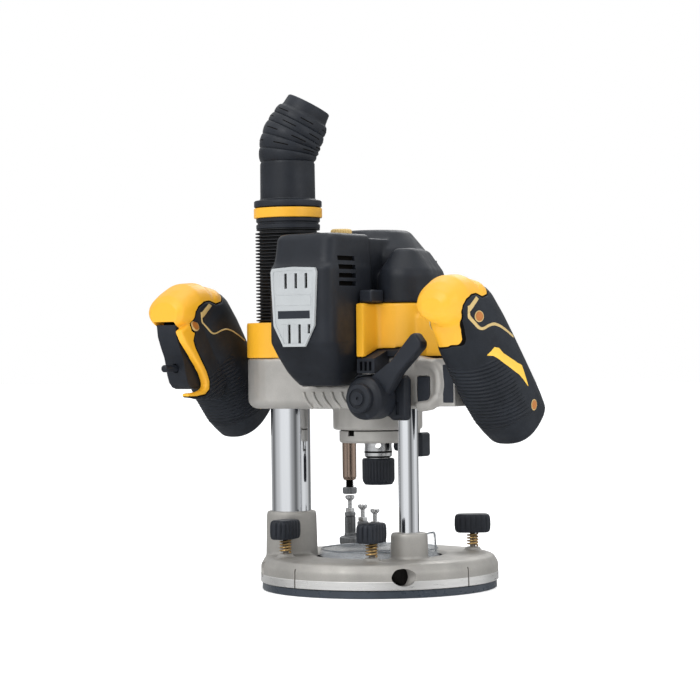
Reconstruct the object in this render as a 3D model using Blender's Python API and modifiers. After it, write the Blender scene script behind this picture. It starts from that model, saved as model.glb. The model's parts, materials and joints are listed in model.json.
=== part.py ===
"""Cordless plunge router, modelled in metres with +Z up.

The parts are drawn around the spindle axis and then moved together, so that the origin lies at
the centre of the footprint on the underside of the sole plate. -Y is the side with the front
grille, the pistol handles stand at -X and +X, and the dust column is at -X.
"""
import math

import bmesh
import bpy
from mathutils import Matrix, Vector

MM = 0.001
GAP = 0.3 * MM
COLLECTION = "plunge_router"

# Driving dimensions
BASE_R = 95 * MM
FRONT_REACH = 117 * MM
OPENING_R = 50 * MM
SOLE_TOP = 6 * MM
DECK_TOP = 27 * MM
SPINDLE_HOLE_R = 32 * MM

DUST_AXIS = (-62.6 * MM, -33 * MM)
DUST_R = 15.8 * MM
DUST_BORE_R = 14.4 * MM
DUST_TOP = 300 * MM
GUIDE_AXIS = (49.8 * MM, -32.5 * MM)
GUIDE_R = 8 * MM
GUIDE_BORE_R = 5.6 * MM
GUIDE_TOP = 196 * MM

FENCE_Z = 16.5 * MM
FENCE_R = 6.2 * MM
FENCE_Y_FRONT = -66 * MM
FENCE_Y_REAR = 55 * MM
CLAMP_SPOTS = {"1": (-45 * MM, FENCE_Y_FRONT), "2": (37 * MM, FENCE_Y_FRONT), "3": (54 * MM, FENCE_Y_REAR)}
KNOB_TURNS = {"1": 95, "2": 95, "3": 34.5}

TURRET_AXIS = (-52 * MM, 53 * MM)
TURRET_R = 19.5 * MM
STOP_RADIUS = 12 * MM
STOP_TOPS = {"tall": 68.5 * MM, "middle": 62 * MM, "low": 57 * MM}
DEPTH_AXIS = (-64 * MM, 52 * MM)
DEPTH_R = 5.85 * MM
FIRST_STOP_ANGLE = math.atan2(DEPTH_AXIS[1] - TURRET_AXIS[1], DEPTH_AXIS[0] - TURRET_AXIS[0])

CASTING_LOW = 144 * MM
CASTING_TOP = 184 * MM
MOTOR_BORE_R = 38 * MM
COLLAR_TOP = 212.5 * MM
COVER_TOP = 226 * MM
HOUSING_TOP = 285 * MM
POD_TOP = 268 * MM
NOSE_LOW = 162.5 * MM
NOSE_TOP = 280 * MM
NOSE_Y = -109 * MM
NOSE_BACK = -56.3 * MM
NOSE_HALF = 30 * MM
WALL = 3 * MM

BELLOWS_TOP = 288 * MM
RING_LOW = 296.6 * MM
RING_TOP = 304.6 * MM
SPOUT_LOW = 305.2 * MM
SPOUT_R = 22.3 * MM
SPOUT_LEAN = math.radians(28)
SPOUT_HEADING = math.radians(34.5)

LEVER_AXIS = (43 * MM, 153 * MM)
LEVER_FRONT = -92 * MM
LEVER_RISE = math.radians(45)
LEVER_LENGTH = 64 * MM

TRIGGER_X = 125 * MM
TRIGGER_HINGE = (-76 * MM, 205 * MM)

YELLOW = (0.93, 0.50, 0.045, 1)
BLACK = (0.025, 0.028, 0.033, 1)
CAST_GREY = (0.46, 0.44, 0.41, 1)
LIGHT_GREY = (0.42, 0.45, 0.47, 1)
CHROME = (0.75, 0.76, 0.78, 1)
STEEL = (0.5, 0.5, 0.5, 1)
BRASS = (0.6, 0.38, 0.12, 1)
BRONZE = (0.36, 0.24, 0.16, 1)


# ---------------------------------------------------------------- helpers

def clear_scene():
    for item in list(bpy.data.objects):
        bpy.data.objects.remove(item, do_unlink=True)


def make_collection(name):
    collection = bpy.data.collections.new(name)
    bpy.context.scene.collection.children.link(collection)
    return collection


def material(name, color, roughness, metallic=0.0):
    """Principled material, one for each sub-part."""
    result = bpy.data.materials.new(name)
    result.use_nodes = True
    shader = result.node_tree.nodes["Principled BSDF"]
    shader.inputs["Base Color"].default_value = color
    shader.inputs["Roughness"].default_value = roughness
    shader.inputs["Metallic"].default_value = metallic
    return result


def move_to(collection, item):
    for owner in list(item.users_collection):
        owner.objects.unlink(item)
    collection.objects.link(item)


def finish(item, name, look):
    """Name the object, put it in the object's collection and give it its own material."""
    item.name = name
    item.data.name = name
    move_to(PARTS, item)
    item.data.materials.clear()
    item.data.materials.append(material(name, *look))
    item.data.shade_smooth()
    item.data.set_sharp_from_angle(angle=math.radians(35))
    return item


def mesh_object(name, mesh):
    item = bpy.data.objects.new(name, mesh)
    bpy.context.scene.collection.objects.link(item)
    return item


def apply_scale(item):
    item.data.transform(Matrix.Diagonal((*item.scale, 1)))
    item.scale = (1, 1, 1)


def bevel(item, width, segments=1, angle=35):
    modifier = item.modifiers.new("Bevel", "BEVEL")
    modifier.width = width
    modifier.segments = segments
    modifier.limit_method = "ANGLE"
    modifier.angle_limit = math.radians(angle)
    return item


def box(low, high):
    """Box between two corners."""
    centre = (Vector(low) + Vector(high)) / 2
    bpy.ops.mesh.primitive_cube_add(size=1, location=centre)
    item = bpy.context.object
    item.scale = Vector(high) - Vector(low)
    apply_scale(item)
    return item


def rod(radius, low, high, at=(0, 0), sides=16):
    """Upright cylinder between two heights."""
    place = (at[0], at[1], (low + high) / 2)
    bpy.ops.mesh.primitive_cylinder_add(vertices=sides, radius=radius, depth=high - low, location=place)
    return bpy.context.object


def cross_rod(radius, start, end, sides=16):
    """Cylinder between two points."""
    start = Vector(start)
    end = Vector(end)
    depth = (end - start).length
    place = (start + end) / 2
    bpy.ops.mesh.primitive_cylinder_add(vertices=sides, radius=radius, depth=depth, location=place)
    item = bpy.context.object
    item.rotation_mode = "QUATERNION"
    item.rotation_quaternion = (end - start).to_track_quat("Z", "Y")
    return item


def turned(profile, at=(0, 0), sides=24, closed=False):
    """Solid of revolution: (radius, height) points, outer side from top to bottom."""
    mesh = bpy.data.meshes.new("turned")
    points = [(radius, 0, height) for radius, height in profile]
    edges = [(i, i + 1) for i in range(len(points) - 1)]
    if closed:
        edges.append((len(points) - 1, 0))
    mesh.from_pydata(points, edges, [])
    item = mesh_object("turned", mesh)
    item.location = (at[0], at[1], 0)
    screw = item.modifiers.new("Screw", "SCREW")
    screw.steps = sides
    screw.render_steps = sides
    screw.use_merge_vertices = True
    screw.merge_threshold = 0.00001
    return item


def ring(inner, outer, low, high, at=(0, 0), sides=24):
    """Plain ring with a square section."""
    profile = [(inner, high), (outer, high), (outer, low), (inner, low)]
    return turned(profile, at, sides, closed=True)


def loft(rings):
    """Closed solid through rings that all have the same number of points."""
    mesh = bpy.data.meshes.new("loft")
    build = bmesh.new()
    layers = [[build.verts.new(point) for point in points] for points in rings]
    for lower, upper in zip(layers, layers[1:]):
        count = len(lower)
        for i in range(count):
            build.faces.new((lower[i], lower[(i + 1) % count], upper[(i + 1) % count], upper[i]))
    build.faces.new(list(reversed(layers[0])))
    build.faces.new(layers[-1])
    bmesh.ops.recalc_face_normals(build, faces=build.faces)
    build.to_mesh(mesh)
    build.free()
    return mesh_object("loft", mesh)


def hull_outline(circles, grow=0.0, count=32):
    """Outline of the tight band around several circles given as (x, y, radius)."""
    points = []
    for i in range(count):
        angle = 2 * math.pi * i / count
        heading = (math.cos(angle), math.sin(angle))
        best = max(circles, key=lambda c: c[0] * heading[0] + c[1] * heading[1] + c[2])
        reach = best[2] + grow
        points.append((best[0] + reach * heading[0], best[1] + reach * heading[1]))
    return points


def at_height(outline, height):
    return [(x, y, height) for x, y in outline]


def slab(outline, low, high):
    """Flat outline extruded between two heights."""
    curve = bpy.data.curves.new("slab", "CURVE")
    curve.dimensions = "2D"
    curve.fill_mode = "BOTH"
    curve.extrude = (high - low) / 2
    spline = curve.splines.new("POLY")
    spline.points.add(len(outline) - 1)
    for point, (x, y) in zip(spline.points, outline):
        point.co = (x, y, 0, 1)
    spline.use_cyclic_u = True
    flat = mesh_object("slab_curve", curve)
    flat.location = (0, 0, (low + high) / 2)
    return curve_to_mesh(flat)


def curve_to_mesh(flat):
    """Replace a curve object by a mesh object whose caps are welded."""
    bpy.context.view_layer.update()
    depsgraph = bpy.context.evaluated_depsgraph_get()
    mesh = bpy.data.meshes.new_from_object(flat.evaluated_get(depsgraph))
    build = bmesh.new()
    build.from_mesh(mesh)
    bmesh.ops.remove_doubles(build, verts=build.verts, dist=0.000001)
    build.to_mesh(mesh)
    build.free()
    item = mesh_object("from_curve", mesh)
    item.matrix_world = flat.matrix_world
    bpy.data.objects.remove(flat, do_unlink=True)
    return item


def coil(radius, wire, low, high, turns, at, per_turn):
    """Round wire spring."""
    curve = bpy.data.curves.new("coil", "CURVE")
    curve.dimensions = "3D"
    curve.bevel_depth = wire
    curve.bevel_resolution = 1
    curve.use_fill_caps = True
    spline = curve.splines.new("POLY")
    total = turns * per_turn
    spline.points.add(total)
    for i, point in enumerate(spline.points):
        angle = 2 * math.pi * i / per_turn
        height = low + (high - low) * i / total
        point.co = (radius * math.cos(angle), radius * math.sin(angle), height, 1)
    wire_object = mesh_object("coil", curve)
    wire_object.location = (at[0], at[1], 0)
    return curve_to_mesh(wire_object)


def combine(item, tools, operation):
    """Boolean with one or more other objects, which become hidden cutters."""
    for tool in tools:
        move_to(CUTTERS, tool)
        tool.hide_render = True
        tool.display_type = "WIRE"
        modifier = item.modifiers.new(operation.title(), "BOOLEAN")
        modifier.operation = operation
        modifier.solver = "EXACT"
        modifier.object = tool
    return item


def cut(item, *tools):
    return combine(item, tools, "DIFFERENCE")


def join(item, *tools):
    return combine(item, tools, "UNION")


def keep(item, tool):
    return combine(item, [tool], "INTERSECT")


def pivot(name, place):
    """Empty on a joint's axis."""
    empty = bpy.data.objects.new(name, None)
    empty.location = place
    PARTS.objects.link(empty)
    return empty


def hang(empty, *items):
    """Parent objects to an empty and keep them where they are."""
    bpy.context.view_layer.update()
    for item in items:
        item.parent = empty
        item.matrix_parent_inverse = empty.matrix_world.inverted()


def arc(centre, radius, start, end, count):
    """Points of an arc in a profile, with the angles in degrees."""
    points = []
    for i in range(count + 1):
        angle = math.radians(start + (end - start) * i / count)
        points.append((centre[0] + radius * math.cos(angle), centre[1] + radius * math.sin(angle)))
    return points


# ---------------------------------------------------------------- base

def base_casting():
    deck = [(OPENING_R, 24 * MM), (54 * MM, DECK_TOP), (86 * MM, DECK_TOP), (91 * MM, 25.4 * MM)]
    rim = [(94 * MM, 22 * MM), (BASE_R, 18 * MM), (BASE_R, SOLE_TOP + GAP), (OPENING_R, SOLE_TOP + GAP)]
    item = turned(deck + rim, sides=48, closed=True)
    dust_socket = [(0, 61.6 * MM), (19.7 * MM, 61.6 * MM), (21 * MM, 18 * MM), (0, 18 * MM)]
    join(item, turned(dust_socket, DUST_AXIS, 24))
    guide_socket = [(0, 47.6 * MM), (14.3 * MM, 47.6 * MM), (14.6 * MM, 18 * MM), (0, 18 * MM)]
    join(item, turned(guide_socket, GUIDE_AXIS, 20))
    for spot in CLAMP_SPOTS.values():
        boss = [(0, 30 * MM), (5.6 * MM, 30 * MM), (7.5 * MM, 24 * MM), (0, 24 * MM)]
        join(item, turned(boss, spot, 12))
    cut(item, rod(DUST_R + GAP, 24 * MM, 80 * MM, DUST_AXIS, 24))
    cut(item, rod(DUST_BORE_R, 9 * MM, 30 * MM, DUST_AXIS, 24))
    duct = box((-62 * MM, -36 * MM, 9.5 * MM), (-30 * MM, -16 * MM, 21.5 * MM))
    cut(item, duct)
    cut(item, rod(GUIDE_R + GAP, 12 * MM, 60 * MM, GUIDE_AXIS))
    for row in (FENCE_Y_FRONT, FENCE_Y_REAR):
        cut(item, cross_rod(FENCE_R, (-0.13, row, FENCE_Z), (0.13, row, FENCE_Z)))
    for spot in CLAMP_SPOTS.values():
        cut(item, rod(2.9 * MM, FENCE_Z, 40 * MM, spot, 12))
    cut(item, rod(3.3 * MM, 23.8 * MM, 40 * MM, TURRET_AXIS, 16))
    return finish(item, "base_casting", (CAST_GREY, 0.45, 0.7))


def sub_base():
    item = ring(SPINDLE_HOLE_R, BASE_R - 1 * MM, 0, SOLE_TOP, sides=40)
    return finish(item, "sub_base", ((0.03, 0.035, 0.045, 1), 0.4))


def dust_column():
    item = ring(DUST_BORE_R, DUST_R, 24 * MM + GAP, DUST_TOP, DUST_AXIS, 24)
    return finish(item, "dust_column", (CHROME, 0.12, 1.0))


def guide_column():
    profile = [(0, 30 * MM), (GUIDE_BORE_R, 30 * MM), (GUIDE_BORE_R, GUIDE_TOP), (GUIDE_R, GUIDE_TOP),
               (GUIDE_R, 12 * MM + GAP), (0, 12 * MM + GAP)]
    item = turned(profile, GUIDE_AXIS, 16)
    return finish(item, "guide_column", (CHROME, 0.12, 1.0))


def dust_shroud():
    """Clear shroud that rings the bit opening, with an upright shield on the right."""
    item = turned([(45.5 * MM, 31 * MM), (47 * MM, 31 * MM), (49.4 * MM, 20 * MM),
                   (49.4 * MM, SOLE_TOP + GAP), (47.6 * MM, SOLE_TOP + GAP), (47.6 * MM, 20 * MM)],
                  sides=32, closed=True)
    shield = ring(45.6 * MM, 47 * MM, 28 * MM, 45 * MM, sides=32)
    cut(shield, box((-60 * MM, -60 * MM, 20 * MM), (40 * MM, 60 * MM, 50 * MM)))
    wedge = box((30 * MM, -7 * MM, 20 * MM), (60 * MM, 16 * MM, 50 * MM))
    keep(shield, wedge)
    join(item, shield)
    cut(item, rod(DUST_R + 6 * MM, 17 * MM, 80 * MM, DUST_AXIS, 24))
    cut(item, box((-62 * MM, -37 * MM, 9 * MM), (-30 * MM, -15 * MM, 26 * MM)))
    cut(item, rod(15.2 * MM, 17 * MM, 80 * MM, GUIDE_AXIS, 16))
    return finish(item, "dust_shroud", ((0.75, 0.78, 0.8, 1), 0.1))


def clamp_set(tag, spot):
    """Oblong ribbed knob, screw and spring that clamp a fence rod."""
    turn = math.radians(KNOB_TURNS[tag])
    outline = []
    for i in range(20):
        angle = 2 * math.pi * i / 20
        wave = 1 + 0.03 * math.cos(7 * angle)
        along = 14.6 * MM * wave * math.copysign(abs(math.cos(angle)) ** 0.6, math.cos(angle))
        across = 8.6 * MM * wave * math.copysign(abs(math.sin(angle)) ** 0.6, math.sin(angle))
        outline.append((spot[0] + along * math.cos(turn) - across * math.sin(turn),
                        spot[1] + along * math.sin(turn) + across * math.cos(turn)))
    knob = bevel(slab(outline, 41.5 * MM, 56.5 * MM), 1.6 * MM)
    cut(knob, rod(2.8 * MM, 35 * MM, 53 * MM, spot, 12))
    finish(knob, "clamp_knob_" + tag, (BLACK, 0.5))
    screw = rod(2.5 * MM, 22.4 * MM, 52.5 * MM, spot, 12)
    finish(screw, "clamp_screw_" + tag, (BRASS, 0.3, 0.9))
    spring = coil(4 * MM, 0.55 * MM, 30.9 * MM, 40.6 * MM, 4, spot, 5)
    finish(spring, "clamp_spring_" + tag, (BRASS, 0.35, 0.9))
    hang(pivot("clamp_pivot_" + tag, (spot[0], spot[1], 41.5 * MM)), knob, screw)


def turret():
    """Stop turret: stepped drum with three posts, each holding a stop screw."""
    low = DECK_TOP + 1.6 * MM
    disc_top = 35.3 * MM
    profile = [(0, disc_top), (17.5 * MM, disc_top), (TURRET_R, disc_top - 1.5 * MM), (TURRET_R, low),
               (3 * MM, low), (3 * MM, 24.4 * MM), (0, 24.4 * MM)]
    drum = turned(profile, TURRET_AXIS)
    axle = pivot("turret_pivot", (TURRET_AXIS[0], TURRET_AXIS[1], low))
    screws = []
    for index, (name, top) in enumerate(STOP_TOPS.items()):
        angle = FIRST_STOP_ANGLE + index * 2 * math.pi / 3
        spot = (TURRET_AXIS[0] + STOP_RADIUS * math.cos(angle),
                TURRET_AXIS[1] + STOP_RADIUS * math.sin(angle))
        post_top = top - 14 * MM
        join(drum, rod(4.6 * MM, 33 * MM, post_top, spot, 12))
        cut(drum, rod(2.1 * MM, 38 * MM, 80 * MM, spot, 12))
        screw = turned([(0, top), (3.8 * MM, top), (3.8 * MM, top - 2.2 * MM), (1.8 * MM, top - 4 * MM),
                        (1.8 * MM, post_top + 3.6 * MM), (4 * MM, post_top + 3.6 * MM),
                        (4 * MM, post_top + 0.5 * MM), (1.8 * MM, post_top + 0.5 * MM),
                        (1.8 * MM, 38.3 * MM), (0, 38.3 * MM)], spot, 8)
        finish(screw, "stop_screw_" + name, (STEEL, 0.25, 1.0))
        screws.append(screw)
    finish(drum, "turret_drum", (STEEL, 0.4, 0.9))
    hang(axle, drum, *screws)


# ---------------------------------------------------------------- dust outlet

def bellows():
    item = ring(20.5 * MM, 26.5 * MM, COLLAR_TOP + GAP, BELLOWS_TOP - GAP, DUST_AXIS, 24)
    return finish(item, "bellows", (BLACK, 0.6))


def column_collar():
    """Black ring on the top of the dust column, from which the bellows hangs."""
    profile = [(DUST_R + GAP, RING_LOW - GAP), (25.7 * MM, RING_LOW - GAP), (25.7 * MM, BELLOWS_TOP),
               (DUST_R + GAP, BELLOWS_TOP)]
    item = turned(profile, DUST_AXIS, 24, closed=True)
    return finish(item, "column_collar", (BLACK, 0.5))


def spout_ring():
    profile = [(DUST_R + GAP, RING_TOP), (26 * MM, RING_TOP), (27.5 * MM, RING_TOP - 1.5 * MM),
               (27.5 * MM, RING_LOW + 1.5 * MM), (26 * MM, RING_LOW), (DUST_R + GAP, RING_LOW)]
    item = turned(profile, DUST_AXIS, 24, closed=True)
    return finish(item, "spout_ring", (YELLOW, 0.45))


def spout_stations():
    """Centre height, centre shift along the lean, tilt and radius along the spout."""
    straight = [(SPOUT_LOW + 6 * MM, 0, 0, SPOUT_R), (342 * MM, 0, 0, SPOUT_R)]
    bend = []
    steps = 4
    bend_radius = 48 * MM
    for i in range(1, steps + 1):
        tilt = SPOUT_LEAN * i / steps
        height = 342 * MM + bend_radius * math.sin(tilt)
        shift = bend_radius * (1 - math.cos(tilt))
        bend.append((height, shift, tilt, SPOUT_R + (0.9 * MM if i % 2 else -0.9 * MM)))
    height, shift, tilt, _ = bend[-1]
    tail = []
    for reach, radius in ((6, 21.5), (12, 22.5), (14, 18.6), (27, 17.2)):
        tail.append((height + reach * MM * math.cos(tilt),
                     shift + reach * MM * math.sin(tilt), tilt, radius * MM))
    return straight + bend + tail


def spout_ring_points(station, shrink=0.0, count=20):
    height, shift, tilt, radius = station
    heading = Vector((math.cos(SPOUT_HEADING), math.sin(SPOUT_HEADING), 0))
    side = Vector((-heading.y, heading.x, 0))
    across = heading * math.cos(tilt) - Vector((0, 0, math.sin(tilt)))
    centre = Vector((DUST_AXIS[0], DUST_AXIS[1], height)) + heading * shift
    points = []
    for i in range(count):
        angle = 2 * math.pi * i / count
        points.append(centre + (across * math.cos(angle) + side * math.sin(angle)) * (radius - shrink))
    return points


def dust_spout():
    """Swivelling elbow: flange, straight neck, ribbed bend and plain tip."""
    flange_r = 27.4 * MM
    stations = [(SPOUT_LOW, 0, 0, flange_r), (SPOUT_LOW + 5.6 * MM, 0, 0, flange_r)] + spout_stations()
    item = loft([spout_ring_points(station) for station in stations])
    inner = [(SPOUT_LOW - 5 * MM, 0, 0, SPOUT_R)] + spout_stations()[1:]
    height, shift, tilt, radius = inner[-1]
    inner.append((height + 8 * MM * math.cos(tilt), shift + 8 * MM * math.sin(tilt), tilt, radius))
    cut(item, loft([spout_ring_points(station, 3.6 * MM) for station in inner]))
    finish(item, "dust_spout", (BLACK, 0.5))
    hang(pivot("spout_pivot", (DUST_AXIS[0], DUST_AXIS[1], SPOUT_LOW)), item)


# ---------------------------------------------------------------- carriage

CASTING_CIRCLES = [(DUST_AXIS[0], DUST_AXIS[1], 33.7 * MM), (0, 0, 47 * MM),
                   (GUIDE_AXIS[0], GUIDE_AXIS[1], 21 * MM)]
ROD_BOSS_CIRCLES = [(DEPTH_AXIS[0], DEPTH_AXIS[1], 11 * MM), (-20 * MM, 18 * MM, 20 * MM)]
POD_CIRCLES = [(GUIDE_AXIS[0], GUIDE_AXIS[1], 21.5 * MM), (40 * MM, 12 * MM, 15 * MM)]


def nose_pocket():
    """Space that the nose of the motor housing takes in the parts behind it."""
    low = (-NOSE_HALF - 0.4 * MM, -0.14, NOSE_LOW - GAP)
    return box(low, (NOSE_HALF + 0.4 * MM, NOSE_BACK + GAP, 0.24))


def lever_recess():
    """Room for the lever bracket in front of the guide column."""
    return box((31 * MM, -0.10, 0.13), (71 * MM, -53.2 * MM, CASTING_TOP + 1 * MM))


def carriage_casting():
    item = bevel(slab(hull_outline(CASTING_CIRCLES), CASTING_LOW, CASTING_TOP), 3 * MM)
    join(item, slab(hull_outline(ROD_BOSS_CIRCLES), 150 * MM, 180 * MM))
    join(item, rod(36 * MM, 126.3 * MM, 150 * MM, sides=28))
    arm_left = box((-ARM_END, -30 * MM, 148 * MM), (-80 * MM, -8 * MM, CASTING_TOP - 1 * MM))
    arm_right = box((55 * MM, -50 * MM, 146 * MM), (ARM_END, -16 * MM, CASTING_TOP - 1 * MM))
    join(item, arm_left, arm_right)
    join(item, box((27 * MM, -4 * MM, 106 * MM), (34.4 * MM, 10 * MM, 130 * MM)))
    cut(item, nose_pocket(), lever_recess())
    cut(item, rod(MOTOR_BORE_R, 150 * MM, 0.20, sides=28))
    cut(item, rod(17.8 * MM, 128 * MM, 0.152, sides=24))
    cut(item, rod(12.5 * MM, 0.10, 0.13, sides=16))
    cut(item, rod(19.3 * MM, 0.13, 0.20, DUST_AXIS, 24))
    cut(item, rod(11.4 * MM, 0.13, 0.20, GUIDE_AXIS, 16))
    cut(item, rod(DEPTH_R + GAP, 0.13, 0.20, DEPTH_AXIS, 16))
    cut(item, box((70 * MM, -60 * MM, 0.13), (81 * MM, -30 * MM, 169 * MM)))
    cut(item, cross_rod(4.4 * MM, (20 * MM, 3 * MM, 113 * MM), (50 * MM, 3 * MM, 113 * MM), 16))
    cut(item, cross_rod(3 * MM, (-90 * MM, 52 * MM, 165 * MM), (-64 * MM, 52 * MM, 165 * MM), 16))
    return finish(item, "carriage_casting", (CAST_GREY, 0.45, 0.7))


def yellow_cover():
    """Yellow cover on the casting, with arms that run out to both handles."""
    item = bevel(slab(hull_outline(CASTING_CIRCLES, 0.6 * MM), CASTING_TOP + GAP, COVER_TOP), 2 * MM)
    join(item, box((-ARM_END, -32 * MM, CASTING_TOP + GAP), (-80 * MM, -10 * MM, 206 * MM)))
    join(item, box((60 * MM, -46 * MM, CASTING_TOP + GAP), (ARM_END, -18 * MM, 216 * MM)))
    join(item, box((30.9 * MM, -75 * MM, CASTING_TOP + GAP), (38 * MM, -40 * MM, COVER_TOP)))
    slope = yz_slab([(-80, 175), (-80, 182), (-40, 195.5), (-40, 175)], 30.5 * MM, 75 * MM)
    cut(item, slope)
    left_step = box((-0.13, -0.08, COLLAR_TOP), (-35 * MM, 0.02, 0.24))
    cut(item, left_step, nose_pocket())
    cut(item, rod(MOTOR_BORE_R, 0.18, 0.24, sides=28))
    cut(item, rod(17.5 * MM, 0.18, 0.24, DUST_AXIS, 24))
    cut(item, rod(11.4 * MM, 0.18, 0.24, GUIDE_AXIS, 16))
    return finish(item, "yellow_cover", (YELLOW, 0.45))


def nose_section(height, half, front, back, corner):
    """Rounded rectangle of the nose at one height, with the large radius on the front corners."""
    points = []
    for centre_x, centre_y, start, radius in ((half - corner, front + corner, -90, corner),
                                              (half - 2 * MM, back - 2 * MM, 0, 2 * MM),
                                              (-half + 2 * MM, back - 2 * MM, 90, 2 * MM),
                                              (-half + corner, front + corner, 180, corner)):
        points += arc((centre_x, centre_y), radius, start, start + 90, 4)
    return at_height(points, height)


def nose_solid(shrink):
    """Nose of the housing from its narrow foot to its stepped cap."""
    back = NOSE_BACK
    stations = [(NOSE_LOW, 19, -86), (172 * MM, 24, -95), (186 * MM, 28, -103.5),
                (196 * MM, 30, NOSE_Y / MM), (254 * MM, 30, NOSE_Y / MM), (262 * MM, 29, -104),
                (275 * MM, 28.6, -101.5), (NOSE_TOP, 25, -97)]
    rings = []
    for height, half, front in stations:
        depth = back - (front * MM + shrink)
        corner = min(9 * MM, depth / 3)
        rings.append(nose_section(height, half * MM - shrink, front * MM + shrink, back, corner))
    if shrink:
        rings = rings[1:-1]
    return loft(rings)


def motor_dome(shrink):
    top = HOUSING_TOP - shrink
    low = COVER_TOP + GAP - (5 * MM if shrink else 0)
    outer = 42 * MM - shrink
    shoulder = arc((outer - 16 * MM, top - 16 * MM), 16 * MM, 90, 0, 3)
    return turned([(0, top)] + shoulder + [(outer, low), (0, low)], sides=28)


def housing_half(side):
    """One half of the motor housing: nose, motor dome and, on the right, the guide column pod."""
    nose = nose_solid(0)
    bridge = box((-28 * MM, -62 * MM, COVER_TOP + GAP), (28 * MM, -25 * MM, 277 * MM))
    join(nose, motor_dome(0), bridge)
    if side > 0:
        rings = [at_height(hull_outline(POD_CIRCLES), COVER_TOP + GAP),
                 at_height(hull_outline(POD_CIRCLES), POD_TOP - 8 * MM),
                 at_height(hull_outline(POD_CIRCLES, -5 * MM), POD_TOP)]
        join(nose, loft(rings))
    cut(nose, motor_dome(WALL))
    cut(nose, nose_solid(WALL))
    cut(nose, box((-20 * MM, -70 * MM, 232 * MM), (20 * MM, -20 * MM, 266 * MM)))
    if side > 0:
        cut(nose, rod(11.4 * MM, 0.22, 264 * MM, GUIDE_AXIS, 16))
        for i in range(4):
            height = (234 + 7.6 * i) * MM
            cut(nose, box((20 * MM, -92 * MM, height), (40 * MM, -73 * MM, height + 3.2 * MM)))
    far = 0.2 * side
    edge = GAP / 2 * side
    low_x, high_x = sorted((edge, far))
    keep(nose, box((low_x, -0.2, 0.1), (high_x, 0.2, 0.35)))
    if side > 0:
        cut(nose, rod(9 * MM, 277 * MM, 0.30, (15 * MM, -70 * MM), 24))
        cut(nose, rod(3 * MM, 0.27, 0.30, (15 * MM, -70 * MM), 12))
    name = "housing_right" if side > 0 else "housing_left"
    return finish(nose, name, (BLACK, 0.5))


def speed_dial():
    spot = (15 * MM, -70 * MM)
    item = turned([(0, 283.5 * MM), (7.4 * MM, 283.5 * MM), (8.3 * MM, 282.6 * MM), (8.3 * MM, 277.6 * MM),
                   (2.5 * MM, 277.6 * MM), (2.5 * MM, 272 * MM), (0, 272 * MM)], spot, 16)
    return finish(item, "speed_dial", (YELLOW, 0.4))


def front_grille():
    """Light grey louvre plate on the nose, with slots above and below two plain bars."""
    outline = [(-20 * MM, 253 * MM), (0, 254 * MM), (20 * MM, 253 * MM), (21.3 * MM, 250 * MM),
               (19 * MM, 209 * MM), (10 * MM, 193 * MM), (-10 * MM, 193 * MM), (-19 * MM, 209 * MM),
               (-21.3 * MM, 250 * MM)]
    item = slab(outline, 0, 2.2 * MM)
    item.rotation_euler = (math.pi / 2, 0, 0)
    item.location = (0, NOSE_Y - GAP - 1.1 * MM, 0)
    for x in (-12, -4, 4, 12):
        low = (196 if abs(x) < 8 else 204) * MM
        cut(item, box(((x - 1.3) * MM, -0.13, 234 * MM), ((x + 1.3) * MM, -0.11, 249 * MM)))
        cut(item, box(((x - 1.3) * MM, -0.13, low), ((x + 1.3) * MM, -0.11, 214 * MM)))
    return finish(item, "front_grille", (LIGHT_GREY, 0.4))


def air_intake():
    """Ribbed intake under the sloping edge of the yellow cover."""
    item = yz_slab([(-74, 172), (-54, 172), (-54, 190), (-74, 183.3)], 31 * MM, 47 * MM)
    join(item, yz_slab([(-56, 184.6), (-40.5, 184.6), (-40.5, 194.6), (-56, 189.3)], 31 * MM, 66 * MM))
    cut(item, rod(11.4 * MM, 0.16, 0.22, GUIDE_AXIS))
    for i in range(3):
        left = (33.5 + 4.2 * i) * MM
        cut(item, box((left, -0.08, 174 * MM), (left + 2.4 * MM, -71 * MM, 181 * MM)))
    return finish(item, "air_intake", (BLACK, 0.5))


def nose_ring():
    """Ring under the casting around the collet, with one slot."""
    item = ring(14 * MM, 31 * MM, 116 * MM, 126 * MM, sides=28)
    cut(item, box((-8 * MM, -40 * MM, 121.5 * MM), (-3 * MM, -26 * MM, 127 * MM)))
    cut(item, box((26.4 * MM, -5 * MM, 0.11), (40 * MM, 11 * MM, 0.13)))
    cut(item, cross_rod(4.6 * MM, (10 * MM, 3 * MM, 113 * MM), (40 * MM, 3 * MM, 113 * MM)))
    return finish(item, "spindle_nose_ring", (CAST_GREY, 0.4, 0.7))


def bushings():
    left = ring(DUST_R + GAP, 19 * MM, 145 * MM, 183 * MM, DUST_AXIS, 24)
    finish(left, "bushing_left", (BRONZE, 0.4, 0.8))
    right = ring(GUIDE_R + GAP, 11.1 * MM, 145 * MM, 183 * MM, GUIDE_AXIS, 16)
    finish(right, "bushing_right", (BRONZE, 0.4, 0.8))


def motor_fixed_parts():
    finish(ring(21 * MM, MOTOR_BORE_R - GAP, 152 * MM, 222 * MM, sides=28), "stator", (STEEL, 0.5, 0.8))
    finish(ring(8.8 * MM, 17.5 * MM, 129 * MM, 141 * MM, sides=24), "lower_bearing", (STEEL, 0.25, 1.0))
    finish(ring(4.4 * MM, 11 * MM, 244.5 * MM, 251.5 * MM, sides=16), "upper_bearing", (STEEL, 0.25, 1.0))
    bell = ring(11.3 * MM, 38.5 * MM, 245 * MM, 251 * MM, sides=28)
    finish(bell, "motor_end_bell", (CAST_GREY, 0.5, 0.6))
    board = box((-19 * MM, -98 * MM, 205 * MM), (19 * MM, -62 * MM, 228 * MM))
    finish(board, "control_module", ((0.02, 0.1, 0.06, 1), 0.5))


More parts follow.
